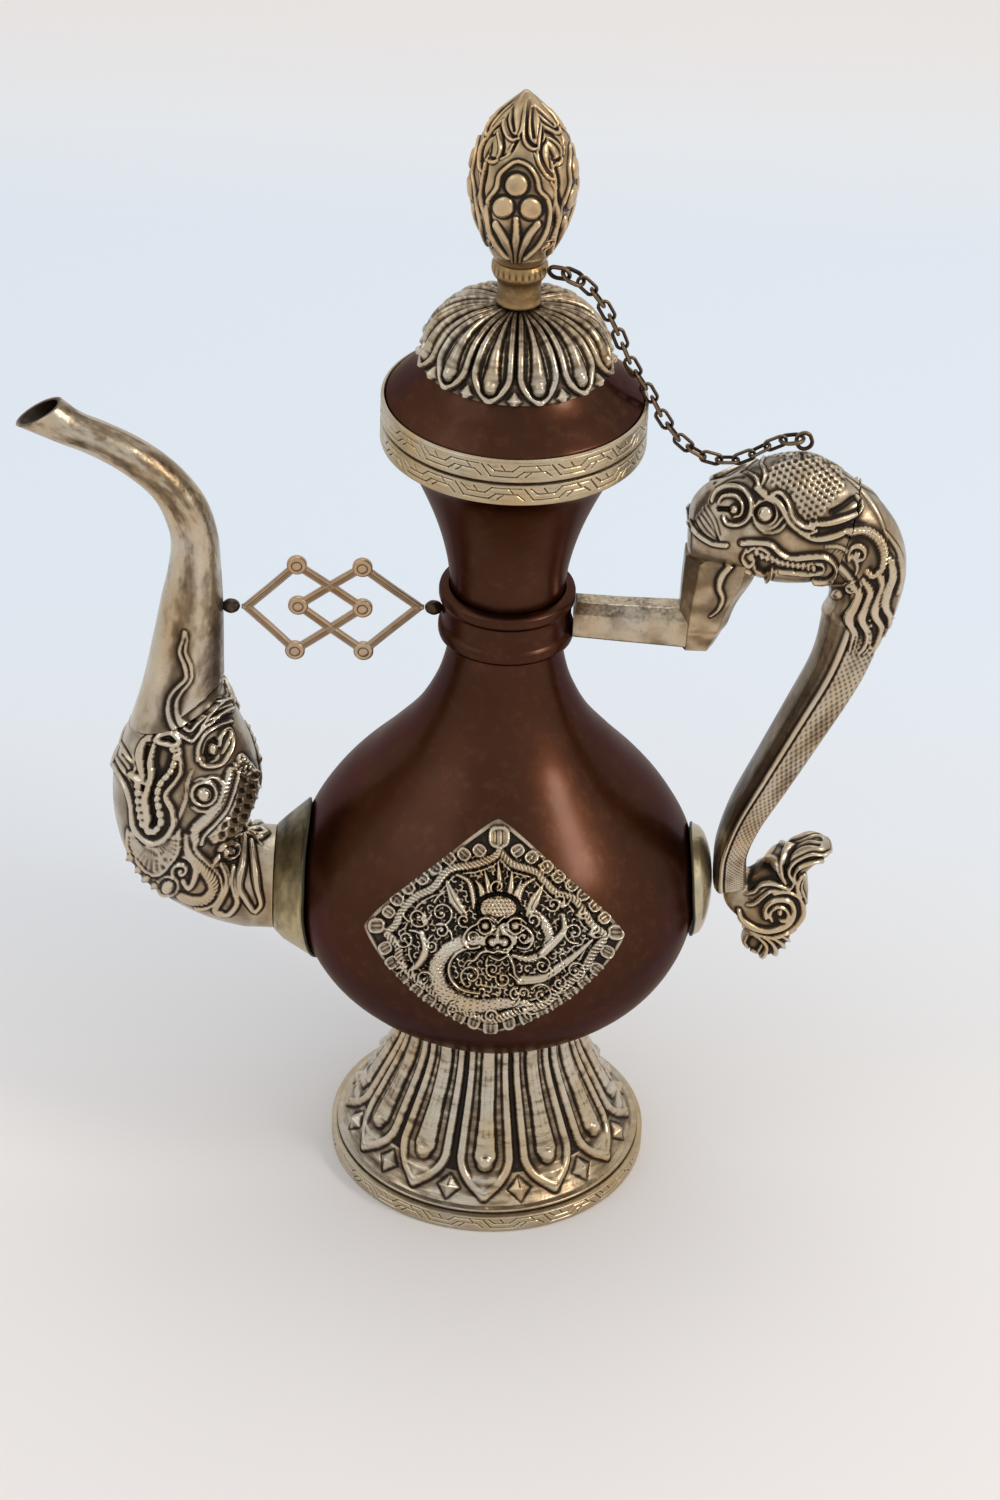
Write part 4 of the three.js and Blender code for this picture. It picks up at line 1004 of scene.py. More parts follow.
def draw_plaque(field, unit, size):
    line, mm, _ = pens(unit)
    field.h = np.where(size > 0.955, 0.42, -0.28)
    for x, y, facing, half in PlaqueTraces.border_lobes:
        lobe(field, mm(x), mm(y), facing, mm(half * 1.34), mm(half * 1.24))
    mid_x, mid_y = PlaqueTraces.middle
    inner = [[mid_x + (x - mid_x) * 0.9, mid_y + (y - mid_y) * 0.9] for x, y in PlaqueTraces.rope]
    filler(field, line(inner), pitch=2.3, seed=61)
    loop_ridge(field, line(PlaqueTraces.rope), width=2.5, height=1.45, rope=1.05, flat=3.0)
    loop_ridge(field, line(inner), width=0.7, height=0.7)
    draw_dragon(field, unit)


class DragonTraces:
    coil = trace(690, 728, 610, 738, 530, 775, 470, 835, 452, 905, 478, 985, 560, 1050, 680, 1075,
                 790, 1062, 885, 1060, 960, 1078)
    neck = trace(955, 590, 1010, 640, 1042, 720, 1005, 800, 930, 830, 850, 812)
    coil_edge = trace(668, 768, 600, 778, 545, 815, 520, 870, 535, 935, 590, 985, 680, 1005)
    hind_leg = trace(885, 940, 1000, 928, 1100, 866, 1190, 795, 1262, 728)
    fore_leg = trace(1112, 600, 1115, 680, 1065, 742, 1005, 800)
    left_leg = trace(372, 690, 400, 770, 372, 840, 330, 880)
    claws = ((1105, 560, -1.5), (1180, 600, -0.4), (390, 640, -1.6), (300, 865, 2.8), (1245, 700, -0.5),
             (905, 1085, 0.4))
    curls = ((480, 590, 66, 1.9), (362, 612, 54, 0.5), (292, 722, 48, 3.0), (480, 682, 42, 4.0),
             (392, 930, 50, 1.0), (635, 912, 58, 2.2), (735, 1120, 36, 0.2), (1000, 1010, 60, 3.6),
             (865, 1010, 34, 5.0), (1168, 690, 58, 1.2), (1060, 545, 40, 2.8), (1002, 860, 46, 4.4),
             (1172, 885, 50, 0.8), (745, 880, 38, 1.4), (800, 930, 40, 3.4), (540, 1085, 28, 2.0),
             (905, 1000, 28, 0.6), (1090, 950, 36, 5.2), (430, 760, 30, 1.7), (900, 710, 44, 3.9))
    crown_points = (((775, 325), 775), ((705, 372), 730), ((845, 372), 820), ((655, 420), 700),
                    ((895, 420), 855))
    crown_jewel = (772, 455, 42)
    horns = (trace(560, 392, 618, 422, 640, 480, 652, 560), trace(962, 412, 905, 450, 884, 505,
            880, 562))
    ears = (trace(508, 425, 545, 520, 600, 600), trace(1003, 452, 962, 530, 930, 600))
    face = trace(680, 560, 700, 640, 705, 700, 740, 770, 780, 800, 830, 790, 872, 740, 880, 650,
                 870, 560)
    crown_root, crown_bend = 545, 460
    forehead = (775, 562, 96)
    crown_net = (775, 554, 86)
    temple_scrolls = ((598, 628, 36, 1), (955, 628, 36, -1))
    # Side of the face, and the eye
    eyes = ((-1, (708, 655, 24)), (1, (862, 655, 24)))
    # Steps from the eye's or the face's middle
    upper_lid = trace(-52, 655, -20, 618, 22, 616, 60, 648)
    lower_lid = trace(-50, 672, 0, 698, 58, 668)
    face_middle, frown_middle = 775, 773
    cheek = trace(95, 640, 150, 670, 178, 720, 150, 770, 95, 765)
    nostril, cheek_scroll = (30, 738, 26), (132, 716, 36)
    frown = trace(0, 640, 16, 620, 40, 606)
    nose = trace(772, 668, 770, 700, 774, 734)
    lip = trace(705, 770, 745, 790, 775, 780, 812, 790, 848, 765)
    chin = trace(728, 808, 775, 828, 822, 806)
    whiskers = (trace(740, 785, 690, 790, 650, 830, 618, 832, 592, 872), trace(820, 790, 850, 850,
            862, 905, 900, 945))


def draw_dragon(field, unit):
    """The dragon's coils, claws, crown and face, over the scrolls of the ground."""
    line, mm, disc = pens(unit)
    for path, width in ((DragonTraces.coil, 4.9), (DragonTraces.neck, 3.2)):
        field.ridge(line(path), width=width, height=1.5, taper=(1, 0.45), flat=2.6)
        curve = spline(line(path), count=110)
        ahead = np.gradient(curve, axis=0)
        ahead /= np.linalg.norm(ahead, axis=1, keepdims=True)
        across = np.stack([-ahead[:, 1], ahead[:, 0]], 1)
        for k in range(3, 107, 3):
            lanes = (-0.32, -0.1, 0.12, 0.34) if (k // 3) % 2 else (-0.21, 0.01, 0.23)
            for lane in lanes:
                place = curve[k] + across[k] * lane * width
                bead = np.hypot(field.x - place[0], field.y - place[1])
                rim = (bead > 0.34) & (bead < 0.6)
                field.h = np.where(rim, field.h - 0.32, field.h)
    field.ridge(line(DragonTraces.coil_edge), width=1.1, height=1.5, taper=(0.6, 0.6))
    field.ridge(line(DragonTraces.hind_leg), width=2.6, height=1.5, taper=(1, 0.25), line=0.4)
    field.ridge(line(DragonTraces.fore_leg), width=2.6, height=1.6, taper=(0.6, 1))
    field.ridge(line(DragonTraces.left_leg), width=2.8, height=1.5, taper=(0.6, 0.7))
    for x, y, facing in DragonTraces.claws:
        for turn in (-0.7, 0, 0.7):
            c, n = math.cos(facing + turn), math.sin(facing + turn)
            claw = [[x, y], [x + 34 * c - 8 * n, y + 34 * n + 8 * c], [x + 64 * c, y + 64 * n]]
            field.ridge(line(claw), width=1.1, height=1.35, taper=(1, 0.3))
    for k, (x, y, radius, start) in enumerate(DragonTraces.curls):
        hand = 1 if k % 2 else -1
        field.spiral(mm(x), mm(y), radius=mm(radius), turns=1.45, width=0.78, height=1.25, start=start,
                     hand=hand)
        for reach in (1.0, 1.7):
            steps = ((1, 2.2), (1.4, 2.7), (1 + reach * 0.6, 3.1))
            tail = [[x + radius * far * math.cos(start + a), y + radius * far * math.sin(start + a)]
                    for far, a in steps]
            field.ridge(line(tail), width=0.85, height=1.0, taper=(1, 0.3))
    for (tip_x, tip_y), root_x in DragonTraces.crown_points:
        point = [[root_x, DragonTraces.crown_root], [(root_x + tip_x) / 2 + 8, DragonTraces.crown_bend],
                 [tip_x, tip_y]]
        field.ridge(line(point), width=2.2, height=1.6, taper=(1, 0.25), line=0.35)
    field.spiral(*disc(DragonTraces.crown_jewel), turns=1.3, width=0.8, height=2.0, start=1.6)
    for horn in DragonTraces.horns:
        field.ridge(line(horn), width=1.9, height=1.9, taper=(0.6, 1), rope=0.75)
    for ear in DragonTraces.ears:
        field.ridge(line(ear), width=3.4, height=1.3, taper=(0.3, 0.6), line=0.7)
    for x, y, radius, hand in DragonTraces.temple_scrolls:
        field.spiral(mm(x), mm(y), radius=mm(radius), turns=1.3, width=0.8, height=1.5, start=1.2,
                     hand=hand)
    field.h = np.where(field.inside(line(DragonTraces.face)), np.maximum(field.h, 1.5), field.h)
    field.dome(*disc(DragonTraces.forehead), height=2.4, squash=0.66)
    crown_x, crown_y, crown_radius = disc(DragonTraces.crown_net)
    crown = np.hypot(field.x - crown_x, (field.y - crown_y) / 0.6) < crown_radius
    here = field.h.copy()
    field.net(crown, pitch=1.05, height=0.9)
    field.h = np.where(crown, here * 0.7 + field.h, field.h)
    middle = DragonTraces.face_middle
    for side, eye in DragonTraces.eyes:
        field.dome(*disc(eye), height=2.7, ring=2.3)
        upper, lower = ([[eye[0] + x, y] for x, y in lid] for lid in (DragonTraces.upper_lid,
                DragonTraces.lower_lid))
        field.ridge(line(upper), width=1.1, height=2.6, taper=(0.5, 0.5))
        field.ridge(line(lower), width=0.8, height=2.4, taper=(0.5, 0.5))
        cheek = [[middle + side * x, y] for x, y in DragonTraces.cheek]
        field.ridge(line(cheek), width=1.3, height=1.9, taper=(0.6, 0.6))
        x, y, radius = DragonTraces.nostril
        field.dome(*disc((middle + side * x, y, radius)), height=2.9)
        x, y, radius = DragonTraces.cheek_scroll
        field.spiral(*disc((middle + side * x, y, radius)), turns=1.2, width=0.6, height=1.8, hand=side)
    field.ridge(line(DragonTraces.nose), width=2.0, height=2.7, taper=(0.3, 1))
    for side in (-1, 1):
        frown = [[DragonTraces.frown_middle + side * x, y] for x, y in DragonTraces.frown]
        field.ridge(line(frown), width=0.9, height=2.6, taper=(1, 0.4))
    field.ridge(line(DragonTraces.lip), width=1.1, height=2.4, taper=(0.6, 0.6))
    field.ridge(line(DragonTraces.chin), width=0.9, height=1.9)
    for whisker in DragonTraces.whiskers:
        field.ridge(line(whisker), width=1.2, height=1.9, taper=(0.9, 0.3))


def ring_on_side(side, centre_z, radius, lift, sides):
    """A ring about a level axis along X, lying on the belly at a lift."""
    a = np.arange(sides) / sides * TAU
    y, z = radius * np.sin(a), centre_z + radius * np.cos(a)
    r = belly_radius(z)
    slope = belly_radius(z + 0.5) - belly_radius(z - 0.5)
    r = r + lift * np.sqrt(1 + slope ** 2)
    return np.stack([side * np.sqrt(np.maximum(r ** 2 - y ** 2, 1)), y, z], -1)


def ring_across(x, centre_z, radius, sides):
    a = np.arange(sides) / sides * TAU
    return np.stack([np.full(sides, float(x)), radius * np.sin(a), centre_z + radius * np.cos(a)], -1)


# Radius about the spout's axis and lift off the belly, in mm
FLANGE_EDGE = (22.0, 0.65), (22.25, 0.8), (22.3, 1.1), (22.25, 1.4), (22.1, 1.55)


def make_flange():
    sides, z = 220, 88.5
    on = lambda radius, lift: ring_on_side(-1, z, radius, lift, sides)
    rim = on(21.9, 1.6)
    cone = ring_across(-58.6, z, radius=17.4, sides=sides)
    neck = ring_across(-61.2, z, radius=14.9, sides=sides)
    outer = [on(radius, lift) for radius, lift in FLANGE_EDGE] + [rim]
    outer += [rim + (cone - rim) * f for f in (0.03, 0.08, 0.2, 0.4, 0.6, 0.8)] + [cone]
    outer += [cone + (neck - cone) * f for f in (0.3, 0.6, 0.85, 0.97)] + [neck]
    rows = np.stack(outer + [ring_across(-61.25, z, radius=14.2, sides=sides),
                             ring_across(-61.2, z, radius=10.6, sides=sides), on(10.5, 0.7),
                             on(13, 0.65), on(18, 0.65)])
    dents = 0.06 * soft_dents(rows.shape[:2], size=5, seed=21)
    rows[6:18, :, 0] -= dents[6:18]
    # Painted light: the flange is lighter towards its bottom and darker towards its top
    low = (z - rows[..., 2]) / 22
    marks = 0.56 + 0.26 * low + 2.6 * dents + 0.2 * soft_dents(rows.shape[:2], size=14, seed=24)
    # Painted shadow: the edge where the flange stands on the belly is dark
    marks[:4] = 0.15
    marks[17:] = 0.3
    marks = np.clip(marks, 0, 1)
    skin("flange", rows, silver_green, "vessel", ["spout_flange"], marks, wrap=(True, True))


def make_boss():
    sides, z, apex = 200, 93.0, 59.95
    on = lambda radius, lift: ring_on_side(1, z, radius, lift, sides)
    rim = on(15.6, 1.5)
    rows = [on(3, 0.65), on(10, 0.65), on(15.6, 0.65), on(16, 0.9), on(15.95, 1.3), rim]
    top = ring_across(apex, z, radius=0.4, sides=sides)
    for f in np.linspace(0.04, 1, 26):
        r = 15.6 * (1 - f) + 0.4 * f
        bulge = math.sqrt(max(0.0, 1 - (r / 15.6) ** 2))
        ring = on(r, 0.0)
        ring[:, 0] = rim[:, 0] * (1 - bulge) + top[:, 0] * bulge
        rows.append(ring)
    rows = np.stack(rows)
    dents = 0.08 * soft_dents(rows.shape[:2], size=5, seed=22)
    rows[6:, :, 0] += np.minimum(dents[6:], 0)
    marks = np.full(rows.shape[:2], 0.72) + 1.6 * dents + 0.1 * soft_dents(rows.shape[:2], size=12,
            seed=77)
    # Painted shadow: the underside and the edge where the boss stands on the belly are dark
    marks[:5] = 0.15
    skin("boss", rows, silver_green, "vessel", ["handle_boss"], marks)


# Finial

FLAME = [[6.6, 284.4], [8.6, 288], [11.4, 294], [13.4, 301], [13.8, 307], [12.6, 313.5], [9.6, 320],
         [5.4, 325.6], [0.8, 330]]
FLAME_FRONT = math.radians(-98)
FLAME_DRAWING = (435, 70), 4.48


def make_finial():
    outer = even(FLAME, count=330)
    columns = 100
    sides = columns * 4
    angle = FLAME_FRONT - math.pi / 4 + np.arange(sides) * TAU / sides
    slim = np.ones(len(outer))
    slim[20:-8] = 0.965
    base = outer * np.stack([blurred(slim[:, None], rounds=6, wrap=(False, True))[:, 0],
                             np.ones(len(outer))], 1)
    p = np.stack([base[:, :1] * np.cos(angle), base[:, :1] * np.sin(angle), np.repeat(base[:, 1:],
            sides, 1)], -1)
    field, unit = drawing_of(p[:, :columns], *FLAME_DRAWING)
    turn = FLAME_FRONT - angle[:columns]
    draw_flame(field, unit)
    one = field.h
    mix = np.clip((np.abs(turn) - math.radians(41)) / math.radians(4), 0, 1)
    lift = np.tile(one * (1 - 0.5 * mix), (1, 4))
    lift = np.clip(blurred(lift, rounds=1, wrap=(False, True)) * 0.8, -0.65, 0.75)
    fade = np.clip((outer[:, 1] - 285.5) / 2, 0, 1) * np.clip((329 - outer[:, 1]) / 5, 0, 1)
    lift *= fade[:, None]
    patina_and_painted_light = patina(lift, (False, True), plain=0.56, gain=1.05, broad=0.9)
    patina_and_painted_light = worn(patina_and_painted_light, amount=0.2, size=8, seed=74)
    n = normals(p, (False, True))
    n *= np.sign(np.einsum("ijk,ijk->ij", n[..., :2], p[..., :2]).mean())
    skin("flame", p + n * lift[..., None], pale_gilt, "lid", ["finial_flame"], patina_and_painted_light)

    stem = even([[5.7, 271.9], [5.95, 272.4], [5.6, 273.6], [5.5, 275.2], [5.55, 277], [5.9, 278.6],
                 [6.8, 279.9], [7.1, 280.7], [7.25, 281.7], [7.15, 282.7], [6.8, 283.4], [6.5, 283.9]],
                count=70)
    sides = 26 * 12
    bead = np.abs(np.sin(np.arange(sides) / 12 * math.pi))[None]
    zone = np.exp(-((stem[:, 1:] - 281.7) / 1.0) ** 2)
    lift = -0.42 * (1 - bead ** 0.7) * zone
    patina_and_painted_light = np.clip(0.58 + 1.1 * lift + 0.12 * zone, 0, 1)
    inner = np.array([[2.3, 283.9], [2.3, 271.9]])
    skin("stem", turned(stem, inner, sides, lift=lift), gilt, "lid", ["finial_stem"],
         with_inner(patina_and_painted_light, inner), wrap=(True, True))
    nut = even([[2.3, 263.8], [4.2, 263.8], [4.6, 264.1], [4.6, 266.1], [4.2, 266.4], [2.3, 266.4]],
               count=30)
    skin("rod_nut", turned(nut, np.array([[2.25, 265.5], [2.25, 264.6]]), sides=60), bronze, "lid",
         ["finial_nut"], wrap=(True, True))


class FlameTraces:
    groove_shift = (16, -14)
    frame = trace(330, 842, 300, 820, 250, 740, 235, 660, 235, 590, 275, 530, 290, 470, 330, 430,
                  370, 410, 420, 430, 455, 480, 470, 540, 505, 580, 515, 640, 500, 720, 460, 790,
                  420, 830, 400, 845)
    buds = ((365, 515, 52), (305, 615, 48), (430, 622, 50))
    middle_leaf = trace(362, 670, 364, 720, 362, 800, 360, 860)
    left_leaf = trace(268, 690, 300, 740, 335, 810, 345, 860)
    right_leaf = trace(462, 690, 422, 740, 388, 810, 378, 860)
    hooks = (trace(262, 240, 285, 300, 292, 370, 262, 412, 222, 392, 212, 320, 228, 250),
             trace(318, 180, 305, 240, 325, 300, 362, 312, 388, 270, 398, 190, 412, 110),
             trace(412, 110, 398, 250, 402, 320, 440, 355, 480, 330, 490, 270, 482, 200),
             trace(482, 200, 462, 380, 485, 450, 525, 490, 560, 460, 575, 400, 572, 330),
             trace(600, 380, 588, 470, 572, 540, 560, 600), trace(152, 420, 168, 500, 198, 525,
            214, 470, 220, 410), trace(170, 560, 190, 620, 205, 680), trace(545, 560, 530, 620,
            545, 700, 520, 760), trace(300, 120, 262, 190, 240, 262, 205, 330, 182, 400),
             trace(470, 120, 520, 190, 545, 262, 590, 340), trace(352, 330, 330, 372, 292, 400),
             trace(445, 370, 462, 410, 490, 470), trace(212, 470, 200, 560, 222, 640, 240, 720),
             trace(520, 500, 548, 560, 540, 640, 520, 700), trace(600, 600, 575, 660, 560, 720))
    slits = (trace(350, 150, 345, 210, 352, 270), trace(440, 170, 438, 240, 445, 300),
             trace(528, 300, 518, 380, 522, 440), trace(248, 270, 250, 330, 246, 370))
    right_bead = (505, 815, 20)
    left_bead = (235, 772, 20)


def draw_flame(field, unit):
    line, mm, disc = pens(unit)
    field.h[:] = 0.1
    field.hollow(line(FlameTraces.frame), level=-0.12)
    field.ridge(line(FlameTraces.frame), width=1.35, height=1.0)
    for x, y, radius in FlameTraces.buds:
        field.dome(mm(x), mm(y), radius=mm(radius), height=1.0)
        field.knob(mm(x), mm(y), radius=mm(radius * 0.9), height=0.5)
    field.ridge(line(FlameTraces.middle_leaf), width=2.6, height=1.1, taper=(0.6, 0.35))
    field.ridge(line(FlameTraces.left_leaf), width=2.4, height=1.1, taper=(0.8, 0.35))
    field.ridge(line(FlameTraces.right_leaf), width=2.4, height=1.1, taper=(0.8, 0.35))
    shift_x, shift_y = FlameTraces.groove_shift
    for path in FlameTraces.hooks:
        field.ridge(line(path), width=1.25, height=0.95, taper=(0.35, 0.35))
        shifted = [[x + shift_x, y + shift_y] for x, y in path]
        field.groove(line(shifted), width=0.8, depth=0.9)
    for path in FlameTraces.slits:
        field.groove(line(path), width=1.1, depth=1.0)
    field.dome(*disc(FlameTraces.right_bead), height=1.0, ring=0.7)
    field.dome(*disc(FlameTraces.left_bead), height=1.0, ring=0.7)


# Where each drawing's corner lies in the photograph's frame, and how many of its steps make a pixel
SPOUT_DRAWING = (90, 640), 4.9
HANDLE_DRAWING = (660, 420), 5.8
TAIL_DRAWING = (680, 780), 7.47
SPOUT_WALL = 1.3

SPOUT_HEAD = [[[-61.5, 102.9], [-61.5, 74.1], 14.4], [[-66, 103], [-66, 74.2], 14.5],
              [[-70, 103.6], [-71, 74.4], 14.6], [[-72.5, 106.5], [-81, 77.6], 15.5],
              [[-70, 111], [-93, 85], 17.5], [[-67, 117], [-102, 96], 19], [[-66.3, 123], [-105.8, 109],
        19.5], [[-67.3, 129.5], [-106.1, 122], 19], [[-69.5, 136.5], [-104.3, 129.5], 17],
              [[-73, 145], [-103, 134.5], 15], [[-75.1, 150.5], [-101.6, 138.5], 13.5],]
SPOUT_TUBE = [[[-75.3, 151.2], [-101.2, 139.4], 13.2], [[-75.5, 158], [-97.6, 152], 11],
              [[-75.5, 168], [-94.2, 168.5], 9.4], [[-75.6, 178], [-92.3, 178.6], 8.4],
              [[-76.1, 189], [-90.2, 188.4], 7.1], [[-76.9, 199], [-89.4, 197.5], 6.3],
              [[-79.4, 208], [-91.3, 205.3], 6], [[-83.7, 215], [-94.2, 210.8], 5.7],
              [[-89.7, 221.4], [-98.6, 215.2], 5.4], [[-97.2, 226.8], [-104.3, 219.4], 5.2],
              [[-105.6, 231], [-111.4, 223.2], 5], [[-112.2, 233.8], [-118.4, 226], 5.1],
              [[-117, 237.6], [-129.15, 230.6], 5.5],]
GRIP = [[[85.2, 195.4], [91, 221.2], 9.2], [[87, 192.8], [98, 214.8], 9],
        [[88.3, 190.2], [102.6, 206.5], 8.8], [[88.9, 187.4], [104.2, 197.5], 8.6],
        [[88.9, 184.4], [103, 187.5], 8.5], [[88.2, 179.5], [99.6, 177.6], 8.3],
        [[84.7, 166.9], [95, 163.7], 8.1], [[77.5, 149.8], [86.8, 146], 8],
        [[70.2, 132.7], [78.4, 128.8], 8], [[64.2, 118.1], [72.2, 116.4], 7.8], [[61.1, 106], [69, 107],
        7.6], [[60.75, 98.5], [68.7, 99.5], 7.4], [[60.95, 93.5], [69.2, 95.2], 7.2],]
GRIP_BULGE = [3, 4, 5, 5.6, 5.4, 4.6, 3.1, 2.2, 1.4, 0.9, 0.8, 0.8, 0.8]
GRIP_SECTION = [[1, 0], [0.99, 0.6], [0.94, 0.86], [0.84, 1], [0, 1.04], [-0.82, 1], [-0.95, 0.8],
                [-1.08, 0.4], [-1.12, 0], [-1.08, -0.4], [-0.95, -0.8], [-0.82, -1], [0, -1.04],
                [0.84, -1], [0.94, -0.86], [0.99, -0.6]]
HANDLE_HEAD = [[[46.9, 212], [46.9, 201.6], 4.5], [[48.3, 216], [48, 198.6], 6.3],
               [[52, 220], [52, 197.6], 7.8], [[57.5, 223], [57.5, 196.4], 9],
               [[63.5, 226.3], [64, 194.4], 9.8], [[70, 228.8], [70.6, 192.6], 10.4],
               [[77, 229.4], [77, 192.6], 10.6], [[84, 226.4], [81.6, 193.2], 10],
               [[90.5, 221.7], [84.9, 194], 9.4],]
COLUMN = [[[55.4, 172.4], [46.0, 172.4], 6.3], [[57.6, 177], [45.9, 177], 6.5],
          [[58.8, 179], [45.8, 179], 6.6], [[60.8, 185.5], [45.9, 185.5], 6.9],
          [[64.6, 193], [46.1, 193], 7.4], [[66.4, 200], [46.5, 200], 7.8],]
TAIL = [[[92.0, 104.4], [91.4, 102.9], 1.2], [[91.4, 107.2], [88.6, 101.6], 3.8],
        [[87.6, 108.8], [87.0, 100.4], 5], [[82.6, 106.8], [86.0, 98.4], 5.6],
        [[76.8, 103], [86.6, 94.4], 6], [[70.6, 98.0], [87.0, 90], 6], [[64.2, 92.6], [86.2, 84], 6],
        [[63.8, 87.2], [83.8, 79], 6], [[69.2, 81.6], [83.2, 76.6], 5.8], [[70.3, 77.6], [82, 73.4],
        5.2], [[69.4, 73.2], [79.6, 70.4], 4.4], [[71.4, 70.8], [76.6, 69], 3],]


def with_bore(p, wall):
    """The same skin with an inner wall, so that its open ends show a bore."""
    middle = p.mean(axis=1, keepdims=True)
    spoke = p - middle
    size = np.linalg.norm(spoke, axis=-1, keepdims=True)
    inner = middle + spoke * np.maximum(1 - wall / np.maximum(size, 1e-6), 0.1)
    return np.concatenate([p, inner[::-1]])


def make_spout_head():
    p, _ = loft(SPOUT_HEAD, rows=300, cols=300)
    field, unit = drawing_of(p, *SPOUT_DRAWING)
    draw_spout_makara(field, unit)
    shaped, patina_and_painted_light = carve(p, field, plain=0.63, broad=0.25)
    patina_and_painted_light = worn(patina_and_painted_light, amount=0.13, size=8, seed=75)
    skin("spout_makara", shaped, silver, "vessel", ["spout_head"], patina_and_painted_light)


def banded(field, path, width, height, step):
    """A flat band cut across into teeth, with a line down its middle."""
    field.ridge(path, width=width, height=height, flat=6.0, line=0.3)
    curve = even(path, count=60)
    ahead = np.gradient(curve, axis=0)
    ahead /= np.linalg.norm(ahead, axis=1, keepdims=True)
    run = arc_length(curve)
    for at in np.arange(step / 2, run[-1], step):
        k = int(np.argmin(np.abs(run - at)))
        side = np.array([-ahead[k, 1], ahead[k, 0]]) * width / 2
        field.groove([curve[k] - side, curve[k] + side], width=0.55, depth=1.1)


TENDRIL = [[455, 0], [440, 60], [465, 130], [470, 190], [420, 240], [390, 290], [385, 360], [410, 430],
           [460, 475], [500, 492], [530, 462], [560, 405], [620, 372], [690, 345]]
TENDRIL_INNER = [[474, 0], [466, 60], [494, 130], [496, 195], [452, 250], [425, 300], [425, 360],
                 [446, 412], [490, 446], [535, 400], [600, 350], [690, 318]]


